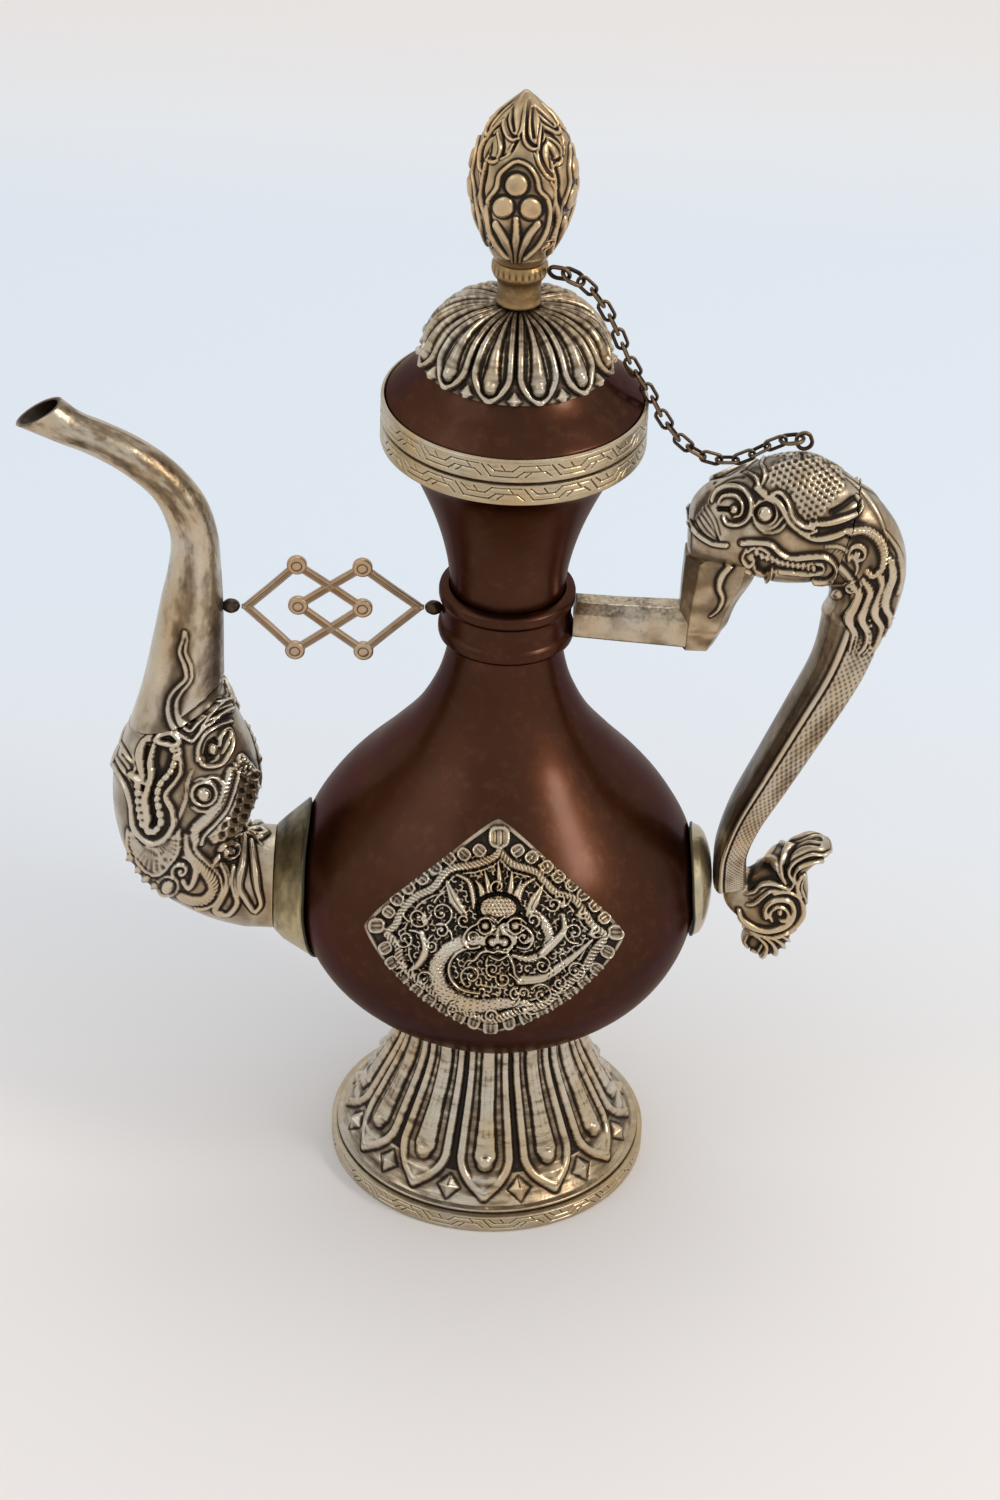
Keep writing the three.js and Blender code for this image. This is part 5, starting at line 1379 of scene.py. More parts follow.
class SpoutTraces:
    upper_lip = trace(110, 600, 170, 700, 205, 800, 215, 900, 250, 960, 300, 990, 350, 980, 390, 940,
                      410, 890, 400, 830, 370, 760, 420, 690, 445, 640, 440, 560, 432, 505)
    mouth = trace(195, 640, 225, 720, 235, 880, 270, 940, 340, 945, 362, 880, 340, 760, 372, 690,
                  415, 640, 418, 540, 330, 520, 250, 520)
    scales = trace(700, 610, 760, 570, 815, 640, 828, 800, 790, 895, 705, 945, 610, 995, 575, 960,
                   645, 880, 695, 800, 712, 700)
    brow = trace(690, 640, 665, 720, 632, 800, 575, 870, 515, 930, 520, 985)
    brow_edge = trace(722, 640, 700, 730, 668, 820, 610, 895, 560, 950, 548, 1000)
    eye_fold = trace(560, 690, 590, 672, 640, 690, 640, 760, 600, 815, 545, 840, 500, 815)
    eye = (557, 752, 38)
    eyelid = trace(505, 700, 540, 680, 590, 690, 622, 740, 610, 800)
    mane_ground = trace(452, 380, 560, 300, 650, 200, 690, 250, 640, 300, 540, 375, 490, 435, 462, 425)
    # Start and step of their x, then of their y
    mane_hairs = ((475, 20), (402, -17))
    mane_locks = ((trace(560, 400, 600, 345, 650, 300, 695, 285), 1.3, 1.3),
                  (trace(575, 425, 620, 375, 665, 345, 700, 332), 1.3, 1.5),
                  (trace(560, 355, 620, 305, 660, 290), 0.8, 1.1), (trace(500, 500, 560, 425, 600, 400),
            1.4, 1.3))
    nose_line = trace(530, 590, 532, 520, 560, 460, 620, 420, 690, 400)
    ear_hollow = trace(560, 560, 575, 500, 610, 475, 640, 520, 610, 585, 575, 600)
    ear_rim = trace(632, 520, 640, 470, 672, 432, 692, 470, 688, 530, 650, 600, 600, 620, 555, 612,
                    540, 580)
    ear_bead = (602, 535, 24)
    ear_line = trace(648, 560, 672, 500, 684, 452)
    crest_curls = ((745, 578), (772, 625), (730, 630))
    lip_edge = trace(112, 600, 165, 700, 196, 800, 204, 900, 240, 975, 300, 1008, 360, 995, 405, 945,
                     430, 880, 470, 780, 478, 700, 500, 640)
    lip_wrinkles = (trace(150, 500, 190, 580, 215, 640), trace(163, 560, 200, 610),
                    trace(128, 575, 170, 640, 200, 690))
    corner_hollow = trace(150, 560, 170, 560, 215, 620, 205, 650)
    outer_teeth = trace(236, 672, 240, 740, 246, 820, 262, 895, 296, 938)
    inner_teeth = trace(384, 506, 418, 560, 396, 640, 345, 705, 330, 770, 340, 840, 345, 895, 318, 936)
    tongue = trace(288, 935, 283, 860, 272, 780, 290, 715, 300, 660, 296, 590, 318, 505)
    tongue_tip = trace(268, 700, 252, 620, 246, 550, 272, 492, 300, 486)
    fang = trace(328, 490, 352, 460, 400, 452, 440, 498, 402, 512, 345, 500)
    lip_bar = trace(205, 660, 248, 692)
    fan = trace(190, 930, 192, 1010, 240, 1080, 290, 1132, 340, 1146, 382, 1112, 430, 1045, 440, 985,
                432, 930)
    fan_middle = (318, 960, 62)
    fan_root = trace(400, 960, 340, 1010, 260, 995, 215, 930)
    chin_scroll = (445, 1128, 44)
    chin_leaf = trace(455, 1060, 490, 1080, 518, 1130, 505, 1185, 482, 1212, 455, 1180)
    chin_beads = ((385, 1202, 46), (282, 1160, 30), (206, 1062, 24), (322, 1196, 22), (245, 1120, 20))
    fringe = trace(472, 960, 482, 1040, 535, 1100, 592, 1165, 604, 1225, 562, 1272, 500, 1275,
                   440, 1252)
    fringe_edge = trace(500, 950, 520, 1030, 575, 1085, 630, 1150, 640, 1235, 590, 1300, 520, 1310)
    cheek_scroll = (682, 1038, 54)
    scroll_tip = trace(630, 1055, 605, 1085, 622, 1100)
    beard_locks = ((trace(650, 1105, 672, 1180, 640, 1260, 615, 1320, 655, 1345), 3.2),
                   (trace(700, 1110, 700, 1200, 722, 1280, 690, 1335, 660, 1345), 2.4),
                   (trace(755, 960, 748, 1080, 728, 1200, 760, 1265, 800, 1325), 3.0),
                   (trace(790, 985, 805, 1100, 820, 1210, 838, 1290, 812, 1330), 2.6))
    collar_leaf = trace(772, 940, 820, 962, 862, 950, 895, 925)
    collar_line = trace(715, 960, 780, 950, 840, 1000)


def draw_spout_makara(field, unit):
    line, mm, disc = pens(unit)
    field.hollow(line(SpoutTraces.mouth), level=-1.2)
    scales = line(SpoutTraces.scales)
    field.net(field.inside(scales), pitch=mm(44), height=0.7, angle=0.7)
    field.h[field.inside(scales)] += 0.75
    field.ridge(line(SpoutTraces.brow), width=3.8, height=1.7, taper=(0.7, 0.8), rope=1.15, flat=2.8)
    field.ridge(line(SpoutTraces.brow_edge), width=0.9, height=1.8)
    field.ridge(line(SpoutTraces.eye_fold), width=1.2, height=1.2, taper=(0.5, 0.4))
    field.dome(*disc(SpoutTraces.eye), height=2.3, ring=1.5)
    field.ridge(line(SpoutTraces.eyelid), width=0.8, height=1.2, taper=(0.4, 0.4))
    field.ridge(line(TENDRIL), width=1.25, height=1.15)
    field.ridge(line(TENDRIL_INNER), width=0.95, height=0.9)
    field.hollow(line(SpoutTraces.mane_ground), level=-0.7)
    for k in range(9):
        x, y = (start + k * step for start, step in SpoutTraces.mane_hairs)
        field.ridge(line([[x - 8, y - 16], [x + 12, y + 14]]), width=0.42, height=0.25)
    for path, width, height in SpoutTraces.mane_locks:
        field.ridge(line(path), width=width, height=height, taper=(0.6, 0.6))
    field.ridge(line(SpoutTraces.nose_line), width=1.6, height=1.5, taper=(0.7, 0.7))
    field.hollow(line(SpoutTraces.ear_hollow), level=-1.0)
    field.ridge(line(SpoutTraces.ear_rim), width=1.5, height=1.5, taper=(0.7, 0.7))
    field.dome(*disc(SpoutTraces.ear_bead), height=1.2, squash=1.4)
    field.ridge(line(SpoutTraces.ear_line), width=1.3, height=1.4, taper=(0.4, 0.4))
    for x, y in SpoutTraces.crest_curls:
        field.spiral(mm(x), mm(y), radius=mm(30), turns=1.1, width=0.6, height=1.5, start=0.6)
    field.ridge(line(SpoutTraces.lip_edge), width=1.0, height=0.9, taper=(0.5, 0.5))
    field.ridge(line(SpoutTraces.upper_lip), width=1.7, height=1.5, taper=(0.7, 0.8))
    for path in SpoutTraces.lip_wrinkles:
        field.ridge(line(path), width=1.2, height=1.0, taper=(0.5, 0.5))
    field.hollow(line(SpoutTraces.corner_hollow), level=-0.7)
    banded(field, line(SpoutTraces.outer_teeth), width=2.0, height=1.3, step=2.1)
    banded(field, line(SpoutTraces.inner_teeth), width=2.0, height=1.3, step=2.1)
    field.ridge(line(SpoutTraces.tongue), width=2.1, height=1.4, taper=(0.7, 0.6), flat=2.6, line=0.35)
    field.ridge(line(SpoutTraces.tongue_tip), width=2.2, height=1.5, taper=(0.7, 0.8), line=0.4)
    field.ridge(line(SpoutTraces.fang), width=2.0, height=1.6)
    field.ridge(line(SpoutTraces.lip_bar), width=2.2, height=1.5)
    field.h = np.where(field.inside(line(SpoutTraces.fan + SpoutTraces.fan_root)), 0.9, field.h)
    field.ridge(line(SpoutTraces.fan), width=0.9, height=1.35)
    fan_x, fan_y, near = SpoutTraces.fan_middle
    for k in range(17):
        a = math.radians(178 - k * 10.5)
        c, n = math.cos(a), math.sin(a)
        far = 165 if 4 < k < 14 else 130
        rib = [[fan_x + reach * c, fan_y + reach * n] for reach in (near, far)]
        field.groove(line(rib), width=0.3, depth=0.75)
    field.spiral(*disc(SpoutTraces.chin_scroll), turns=1.3, width=0.95, height=1.7, start=2.4)
    field.ridge(line(SpoutTraces.chin_leaf), width=2.2, height=1.4, taper=(0.4, 0.6), line=0.35)
    for x, y, radius in SpoutTraces.chin_beads:
        field.dome(mm(x), mm(y), radius=mm(radius * 0.7), height=2.0, ring=1.2)
    field.ridge(line(SpoutTraces.fringe), width=3.9, height=1.3, taper=(0.6, 0.6), rope=0.95, flat=3.2)
    field.ridge(line(SpoutTraces.fringe_edge), width=1.0, height=1.2)
    field.spiral(*disc(SpoutTraces.cheek_scroll), turns=1.5, width=1.0, height=1.8, start=3.4)
    field.ridge(line(SpoutTraces.scroll_tip), width=1.0, height=1.3)
    for path, width in SpoutTraces.beard_locks:
        field.ridge(line(path), width=width, height=1.35, taper=(0.7, 0.5), line=0.3)
    field.ridge(line(SpoutTraces.collar_leaf), width=2.2, height=1.3, taper=(0.8, 0.3))
    field.ridge(line(SpoutTraces.collar_line), width=1.0, height=1.0, taper=(0.6, 0.3))


# Painted reflections: light and dark stripes along the spout, with a painted highlight line, across from
# one rail to the other
REFLECTION_SHARES = [0, 0.1, 0.28, 0.36, 0.5, 0.64, 0.8, 1]
REFLECTION_TONES = [-0.14, -0.1, 0.02, 0.14, -0.1, -0.12, 0.1, 0.12]


class TubeTraces:
    tendril_tip, tendril_inner_tip = trace(462, -42), trace(468, -40)
    mane_ground = trace(452, 380, 560, 300, 650, 200, 690, 250, 640, 300, 540, 375, 490, 435)
    nick = trace(640, 190, 660, 165, 668, 215)


def make_spout_tube():
    p, share = loft(SPOUT_TUBE, rows=420, cols=200)
    field, unit = drawing_of(p, *SPOUT_DRAWING)
    line, _, _ = pens(unit)
    field.ridge(line(TubeTraces.tendril_tip + TENDRIL), width=1.25, height=1.15, taper=(0.6, 1))
    field.ridge(line(TubeTraces.tendril_inner_tip + TENDRIL_INNER), width=0.95, height=0.9,
                taper=(0.6, 1))
    field.hollow(line(TubeTraces.mane_ground), level=-0.7)
    field.hollow(line(TubeTraces.nick), level=-0.5)
    shaped, patina_and_painted_light = carve(p, field, plain=0.62)
    painted_reflections = np.interp(share, REFLECTION_SHARES, REFLECTION_TONES)
    wear = 0.2 * soft_dents(patina_and_painted_light.shape, size=6, seed=31)
    wear += 0.14 * soft_dents(patina_and_painted_light.shape, size=22, seed=32)
    # Painted reflections and a painted highlight line, on the near side only
    patina_and_painted_light = np.clip(patina_and_painted_light + wear + painted_reflections * (p[..., 1] < 0) + 0.02, 0, 1)
    rows = shaped[::-1]
    whole = with_bore(rows, SPOUT_WALL)
    # Painted shade: the bore's inner wall is dark
    marks = np.concatenate([patina_and_painted_light[::-1], np.full_like(patina_and_painted_light, 0.12)])
    skin("spout", whole, silver, "vessel", ["spout_tube"], marks, wrap=(True, True))


class PostTraces:
    lock = trace(440, 690, 452, 760, 420, 830, 362, 900, 342, 970, 362, 1040, 338, 1100, 290, 1140)


GRIP_ROWS, GRIP_COLUMNS = 520, 240
GRIP_LIMIT = 104.8


def make_handle():
    p, _ = loft(HANDLE_HEAD, rows=240, cols=260, shape=2.3)
    field, unit = drawing_of(p, *HANDLE_DRAWING)
    draw_handle_makara(field, unit)
    shaped, patina_and_painted_light = carve(p, field, plain=0.6, broad=0.3)
    patina_and_painted_light = worn(patina_and_painted_light, amount=0.13, size=8, seed=76)
    skin("handle_makara", shaped, silver, "vessel", ["handle_head"], patina_and_painted_light)

    p, _ = loft(COLUMN, rows=200, cols=240, shape=OCTAGON)
    field, unit = drawing_of(p, *HANDLE_DRAWING)
    line, _, _ = pens(unit)
    field.ridge(line(PostTraces.lock), width=2.1, height=1.1, taper=(0.6, 0.3), line=0.35)
    shaped, patina_and_painted_light = carve(p, field, plain=0.54)
    patina_and_painted_light = worn(patina_and_painted_light, amount=0.2, size=5, seed=35)
    skin("handle_post", shaped, silver, "vessel", ["handle_column"], patina_and_painted_light)

    p, share = loft(GRIP, GRIP_ROWS, GRIP_COLUMNS, GRIP_SECTION, GRIP_BULGE)
    soft_end, _ = loft(GRIP, GRIP_ROWS, GRIP_COLUMNS, shape=2.3, bulge=GRIP_BULGE)
    rows = np.linspace(0, 1, GRIP_ROWS)[:, None]
    blend = np.clip(1 - (rows - 0.1) / 0.16, 0, 1)[..., None]
    p = p * (1 - blend) + soft_end * blend
    field, unit = drawing_of(p, *HANDLE_DRAWING)
    draw_handle_makara(field, unit)
    draw_grip(field, share, p, unit)
    shaped, patina_and_painted_light = carve(p, field, plain=0.62, broad=0.4)
    # Painted shade: the grip's inner face, towards the vessel, is darkened along its lower part
    inner = np.clip((0.13 - share) / 0.06, 0, 1)
    patina_and_painted_light -= inner * np.clip((rows - 0.3) / 0.3, 0, 1) * 0.2
    patina_and_painted_light = worn(patina_and_painted_light, amount=0.14, size=9, seed=33)
    shaped[..., 0] = np.minimum(shaped[..., 0], GRIP_LIMIT)
    skin("grip", shaped, silver, "vessel", ["handle_grip"], patina_and_painted_light)

    p, _ = loft(TAIL, rows=220, cols=200, shape=2.8)
    field, unit = drawing_of(p, *TAIL_DRAWING)
    draw_tail(field, unit)
    shaped, patina_and_painted_light = carve(p, field)
    skin("tail_scroll", shaped, silver, "vessel", ["handle_tail"], patina_and_painted_light)


class HandleTraces:
    first_tooth = (560, 768, 17)
    gill_middle = (965, 850)
    crown = trace(600, 310, 700, 230, 850, 190, 1000, 220, 1075, 290, 1060, 400, 990, 490, 910, 590,
                  840, 580, 790, 500, 750, 420, 660, 390)
    muzzle_lines = (trace(250, 515, 300, 590, 335, 690), trace(272, 495, 325, 580, 350, 670),
                    trace(215, 560, 270, 640, 340, 705), trace(232, 540, 290, 615, 338, 700),
                    trace(195, 580, 250, 660, 330, 715), trace(310, 370, 380, 320, 480, 300),
                    trace(320, 395, 400, 345, 490, 330))
    muzzle_edge = trace(168, 590, 215, 660, 300, 715, 385, 728)
    nostril_rim = trace(300, 470, 330, 415, 400, 385, 480, 400, 530, 470, 515, 560, 455, 605, 390, 600,
                        365, 560)
    nostril_coil = trace(335, 480, 370, 440, 440, 440, 480, 490, 470, 545, 430, 560)
    nostril_slit = trace(340, 515, 400, 520)
    nostril_bead = (430, 520, 26)
    eye = (610, 540, 48)
    lower_lid = trace(548, 590, 590, 628, 660, 620, 715, 560)
    cheek_fold = trace(560, 612, 610, 650, 690, 640, 735, 590)
    brow = trace(555, 395, 610, 440, 680, 470, 725, 530, 765, 600, 840, 655, 905, 640)
    brow_crest = trace(640, 435, 700, 425, 745, 480, 775, 560, 830, 610, 890, 620)
    ear_top = trace(870, 600, 960, 600, 1060, 575, 1140, 540, 1165, 490, 1140, 440)
    ear_base = trace(800, 650, 900, 690, 1010, 670, 1100, 635, 1180, 640)
    jaw_frill = trace(1100, 650, 1190, 640, 1265, 690, 1300, 780, 1285, 860, 1235, 905, 1200, 880)
    ear_hollow = trace(1000, 535, 1060, 500, 1120, 455)
    ear_scroll = (1150, 780, 62)
    upper_lip = trace(470, 712, 560, 708, 640, 720, 700, 772, 760, 800, 860, 792, 950, 790, 1010, 830,
                      1018, 885, 970, 930, 890, 930)
    lower_lip = trace(505, 765, 540, 742, 600, 750, 650, 795, 710, 832, 790, 842, 880, 830, 945, 842,
                      935, 880, 850, 892, 760, 885, 690, 880)
    mouth = trace(545, 790, 600, 790, 690, 858, 790, 868, 880, 858, 925, 866, 850, 884, 700, 874,
                  640, 880, 600, 905, 560, 880)
    fang = trace(650, 880, 625, 925, 560, 945, 500, 930, 478, 890, 505, 868, 535, 895)
    lip_corner = trace(500, 750, 478, 800, 515, 845, 550, 825)
    cheek_edge = trace(960, 735, 1045, 738, 1115, 790, 1145, 850, 1120, 915, 1055, 955, 975, 955)
    jaw_scroll = (1118, 975, 48)
    jaw_bead = (1030, 1010, 32)
    snout_lock = trace(500, 300, 560, 340, 575, 390, 620, 420)
    snout_curl = trace(585, 250, 610, 310, 590, 380)
    mane_edge = trace(1080, 330, 1180, 420, 1270, 560, 1320, 700)


def draw_handle_makara(field, unit):
    line, mm, disc = pens(unit)
    field.net(field.inside(line(HandleTraces.crown)), pitch=mm(36), height=0.55, angle=0.75)
    for path in HandleTraces.muzzle_lines:
        field.groove(line(path), width=0.45, depth=0.4)
    field.ridge(line(HandleTraces.muzzle_edge), width=1.3, height=1.0)
    field.ridge(line(HandleTraces.nostril_rim), width=1.9, height=1.5, taper=(0.5, 0.5))
    field.ridge(line(HandleTraces.nostril_coil), width=1.3, height=1.2, taper=(0.5, 0.7))
    field.groove(line(HandleTraces.nostril_slit), width=1.6, depth=1.4)
    field.dome(*disc(HandleTraces.nostril_bead), height=1.2)
    field.dome(*disc(HandleTraces.eye), height=2.0, ring=0.7)
    field.ridge(line(HandleTraces.lower_lid), width=0.8, height=0.8)
    field.ridge(line(HandleTraces.cheek_fold), width=0.7, height=0.7)
    field.ridge(line(HandleTraces.brow), width=2.6, height=1.5, taper=(0.5, 0.5), line=0.5)
    field.ridge(line(HandleTraces.brow_crest), width=1.6, height=2.1, taper=(0.4, 0.8))
    field.ridge(line(HandleTraces.ear_top), width=1.9, height=1.9, taper=(0.6, 0.35))
    field.ridge(line(HandleTraces.ear_base), width=2.0, height=1.6, taper=(0.4, 0.9), line=0.4)
    field.ridge(line(HandleTraces.jaw_frill), width=3.0, height=2.0, taper=(0.8, 0.5), rope=1.1)
    field.groove(line(HandleTraces.ear_hollow), width=2.2, depth=0.9)
    field.spiral(*disc(HandleTraces.ear_scroll), turns=1.4, width=0.9, height=1.2, start=2.6)
    field.ridge(line(HandleTraces.upper_lip), width=1.4, height=1.5)
    field.ridge(line(HandleTraces.lower_lip), width=0.9, height=1.1)
    field.hollow(line(HandleTraces.mouth), level=-1.3)
    tooth_x, tooth_y, tooth_radius = HandleTraces.first_tooth
    for k in range(12):
        f = k / 11
        x, y = tooth_x + 330 * f, tooth_y + 90 * f ** 0.6
        field.dome(mm(x), mm(y), radius=mm(tooth_radius), height=0.75, squash=1.4)
    field.ridge(line(HandleTraces.fang), width=1.5, height=1.5, taper=(0.6, 0.5))
    field.ridge(line(HandleTraces.lip_corner), width=1.3, height=1.2, taper=(0.5, 0.5))
    gill_x, gill_y = HandleTraces.gill_middle
    for k in range(16):
        angle = -1.25 + k * 2.3 / 15
        c, s = math.cos(angle), math.sin(angle)
        rib = [[gill_x + 62 * c, gill_y + 62 * s], [gill_x + 165 * c, gill_y + 100 * s]]
        field.groove(line(rib), width=0.3, depth=0.35)
    field.ridge(line(HandleTraces.cheek_edge), width=1.0, height=0.8, taper=(0.5, 0.5))
    field.spiral(*disc(HandleTraces.jaw_scroll), turns=1.3, width=0.9, height=1.3, start=0.4, hand=-1)
    field.dome(*disc(HandleTraces.jaw_bead), height=1.2)
    field.ridge(line(HandleTraces.snout_lock), width=1.6, height=1.1, taper=(0.4, 0.4), line=0.3)
    field.ridge(line(HandleTraces.snout_curl), width=1.2, height=1.0, taper=(0.4, 0.4))
    field.ridge(line(HandleTraces.mane_edge), width=1.2, height=0.6, taper=(0.3, 0.3))


class GripTraces:
    first_bead = (1215, 1160)
    locks = (trace(1100, 950, 1150, 1000, 1125, 1080, 1090, 1150, 1120, 1230, 1110, 1290, 1095, 1350),
             trace(1180, 930, 1215, 1000, 1190, 1080, 1165, 1150, 1200, 1230, 1190, 1310, 1150, 1360),
             trace(1262, 880, 1290, 960, 1262, 1040, 1240, 1120, 1280, 1200, 1262, 1280, 1225, 1350),
             trace(1330, 800, 1345, 900, 1312, 1000, 1300, 1080, 1330, 1150, 1310, 1230))
    mane_edge = trace(1300, 640, 1380, 760, 1400, 900, 1380, 1010)


def draw_grip(field, share, p, unit):
    """Netted flat sides between two plain borders, with locks of the mane falling over their upper end."""
    line, _, _ = pens(unit)
    side = np.abs(p[..., 1]) / np.maximum(np.abs(p[..., 1]).max(axis=1, keepdims=True), 1e-6)
    rows = np.linspace(0, 1, p.shape[0])[:, None] * np.ones_like(share)
    face = side > 0.9
    netted = face & (share > 0.27) & (share < 0.93) & (rows > 0.4) & (rows < 0.97)
    steps = np.stack([rows * 84 + share * 6.5, rows * 84 - share * 6.5])
    wires = np.exp(-((steps - np.floor(steps) - 0.5) / 0.17) ** 2).max(0)
    field.h[netted] = (0.55 * wires - 0.25)[netted]
    for centre, width, height in ((0.17, 0.08, 0.6), (0.96, 0.04, 0.3)):
        band = np.clip(1 - np.abs(share - centre) / width, 0, 1)
        field.h = np.maximum(field.h, height * np.sqrt(band) * (side > 0.8))
    moat = face & (np.abs(share - 0.265) < 0.02)
    field.h[moat] = -0.35
    for path in GripTraces.locks:
        field.ridge(line(path), width=2.5, height=1.4, taper=(0.7, 0.25), line=0.4)
        field.ridge(line([[x + 22, y + 6] for x, y in path]), width=1.0, height=1.0, taper=(0.6, 0.25))
    field.ridge(line(GripTraces.mane_edge), width=1.6, height=0.7, taper=(0.4, 0.4))
    bead_x, bead_y = GripTraces.first_bead
    for k in range(7):
        field.dome((bead_x + 6 * (k % 2)) / unit, (bead_y + 32 * k) / unit, radius=0.5, height=0.6)


class TailTraces:
    hollow = trace(515, 640, 600, 590, 720, 570, 790, 640, 800, 770, 690, 770, 600, 775, 515, 830,
                   480, 760)
    back_leaf = trace(640, 575, 700, 600, 745, 680, 770, 760)
    upper_fold = trace(500, 845, 555, 832, 600, 785, 690, 772, 805, 812)
    lower_fold = trace(505, 935, 560, 922, 618, 868, 680, 828, 770, 822)
    fold_line = trace(520, 890, 580, 860, 640, 810, 730, 800)
    outer = trace(322, 1000, 390, 1030, 440, 1060, 505, 1105, 590, 1150, 690, 1172, 790, 1140,
                  870, 1075, 912, 990, 900, 900, 850, 848, 780, 832, 700, 848)
    band = trace(440, 972, 470, 1035, 555, 1095, 655, 1122, 745, 1102, 815, 1050, 846, 980, 830, 915,
                 780, 888, 715, 892, 662, 922, 636, 972, 642, 1024)
    coil = trace(688, 1050, 672, 1010, 688, 965, 735, 942, 788, 960, 806, 1002, 786, 1040, 748, 1046)
    coil_bead = (744, 982, 24)
    plumes = (trace(812, 822, 850, 770, 815, 700, 832, 640, 905, 592, 985, 556, 1070, 556, 1120, 530),
              trace(905, 872, 880, 800, 858, 722, 880, 660, 960, 622, 1045, 604, 1115, 606),
              trace(790, 772, 765, 700, 760, 622, 792, 522, 852, 452, 930, 402, 1020, 402, 1100, 432))
    plume_grooves = (trace(800, 640, 815, 560, 870, 500, 950, 470, 1040, 480), trace(850, 690, 880, 620,
            960, 585, 1060, 580), trace(815, 530, 870, 470, 960, 430, 1060, 440),
                     trace(900, 800, 870, 720, 890, 690))
    vein = trace(905, 905, 875, 820, 890, 750, 930, 705)
    vein_edge = trace(962, 950, 925, 870, 905, 800, 925, 730)
    lower_locks = ((trace(545, 1142, 610, 1185, 648, 1245, 612, 1310, 545, 1332, 480, 1290), 1.7),
                   (trace(625, 1165, 690, 1215, 712, 1280, 672, 1340, 600, 1378), 1.6),
                   (trace(690, 1172, 752, 1215, 778, 1275, 745, 1340, 690, 1378), 1.6),
                   (trace(760, 1165, 815, 1205, 838, 1260, 805, 1325), 1.4),
                   (trace(820, 1130, 880, 1110, 912, 1075), 2.0), (trace(840, 1165, 895, 1150), 1.4))
    lower_hollow = trace(505, 1165, 560, 1170, 605, 1225, 570, 1285, 510, 1270, 480, 1215)


def draw_tail(field, unit):
    line, _, disc = pens(unit)
    field.hollow(line(TailTraces.hollow), level=-1.0)
    field.ridge(line(TailTraces.back_leaf), width=3.0, height=0.6, taper=(0.8, 0.4))
    field.ridge(line(TailTraces.upper_fold), width=1.5, height=1.2, taper=(0.5, 0.7))
    field.ridge(line(TailTraces.lower_fold), width=1.3, height=1.2, taper=(0.5, 0.7))
    field.ridge(line(TailTraces.fold_line), width=0.7, height=0.5, taper=(0.3, 0.3))
    field.ridge(line(TailTraces.outer), width=1.5, height=1.3, taper=(0.5, 0.7))
    field.ridge(line(TailTraces.band), width=1.9, height=1.6, taper=(0.6, 0.8))
    field.ridge(line(TailTraces.coil), width=1.3, height=1.4, taper=(0.8, 0.8))
    field.dome(*disc(TailTraces.coil_bead), height=1.7)
    for path in TailTraces.plumes:
        field.ridge(line(path), width=1.5, height=1.1, taper=(0.6, 0.5))
    for path in TailTraces.plume_grooves:
        field.groove(line(path), width=1.1, depth=0.7)
    field.ridge(line(TailTraces.vein), width=1.6, height=1.0, taper=(0.5, 0.5))
    field.ridge(line(TailTraces.vein_edge), width=0.9, height=0.8, taper=(0.4, 0.4))
    for path, width in TailTraces.lower_locks:
        field.ridge(line(path), width=width, height=1.2, taper=(0.5, 0.5))
    field.hollow(line(TailTraces.lower_hollow), level=-1.0)


# Strut between spout and neck, and the handle's arm

STRUT_LEFT = [[-69.3, 177], [-56, 190.6], [-38.4, 177.9], [-56.4, 163.8]]
STRUT_RIGHT = [[-55.6, 178], [-38.6, 190.6], [-23.4, 178.9], [-38, 164.4]]


def merged(parts):
    """Several grids of points, each closed, as one set of vertices and faces."""
    verts, quads, tris, marks, start = [], [], [], [], 0
    for p, patina_and_painted_light, wrap in parts:
        rows, cols = p.shape[:2]
        ids = start + np.arange(rows * cols).reshape(rows, cols)
        along = np.roll(ids, -1, 0) if wrap else ids[1:]
        here = ids if wrap else ids[:-1]
        faces = np.stack([here, along, np.roll(along, -1, 1), np.roll(here, -1, 1)], -1).reshape(-1, 4)
        points, ends = [p.reshape(-1, 3)], []
        if not wrap:
            for k, (row, turn) in enumerate(((ids[0], 1), (ids[-1], -1))):
                ends.append(np.stack([row, np.roll(row, -1), np.full(cols, start + rows * cols + k)],
                                     -1)[:, ::turn])
            points.append(np.array([p[0].mean(0), p[-1].mean(0)]))
        points = np.concatenate(points)
        ends = np.concatenate(ends) if ends else np.zeros((0, 3), int)
        if volume(points - points.mean(0), faces - start, ends - start) < 0:
            faces, ends = faces[:, ::-1], ends[:, ::-1]
        verts.append(points)
        quads.append(faces)
        tris.append(ends)
        marks.append(np.concatenate([patina_and_painted_light.ravel(), np.full(len(points) - rows * cols, PLAIN_MARK)]))
        start += len(points)
    verts, quads, tris, marks = (np.concatenate(group) for group in (verts, quads, tris, marks))
    return verts, quads, tris, {"patina_and_painted_light": marks}


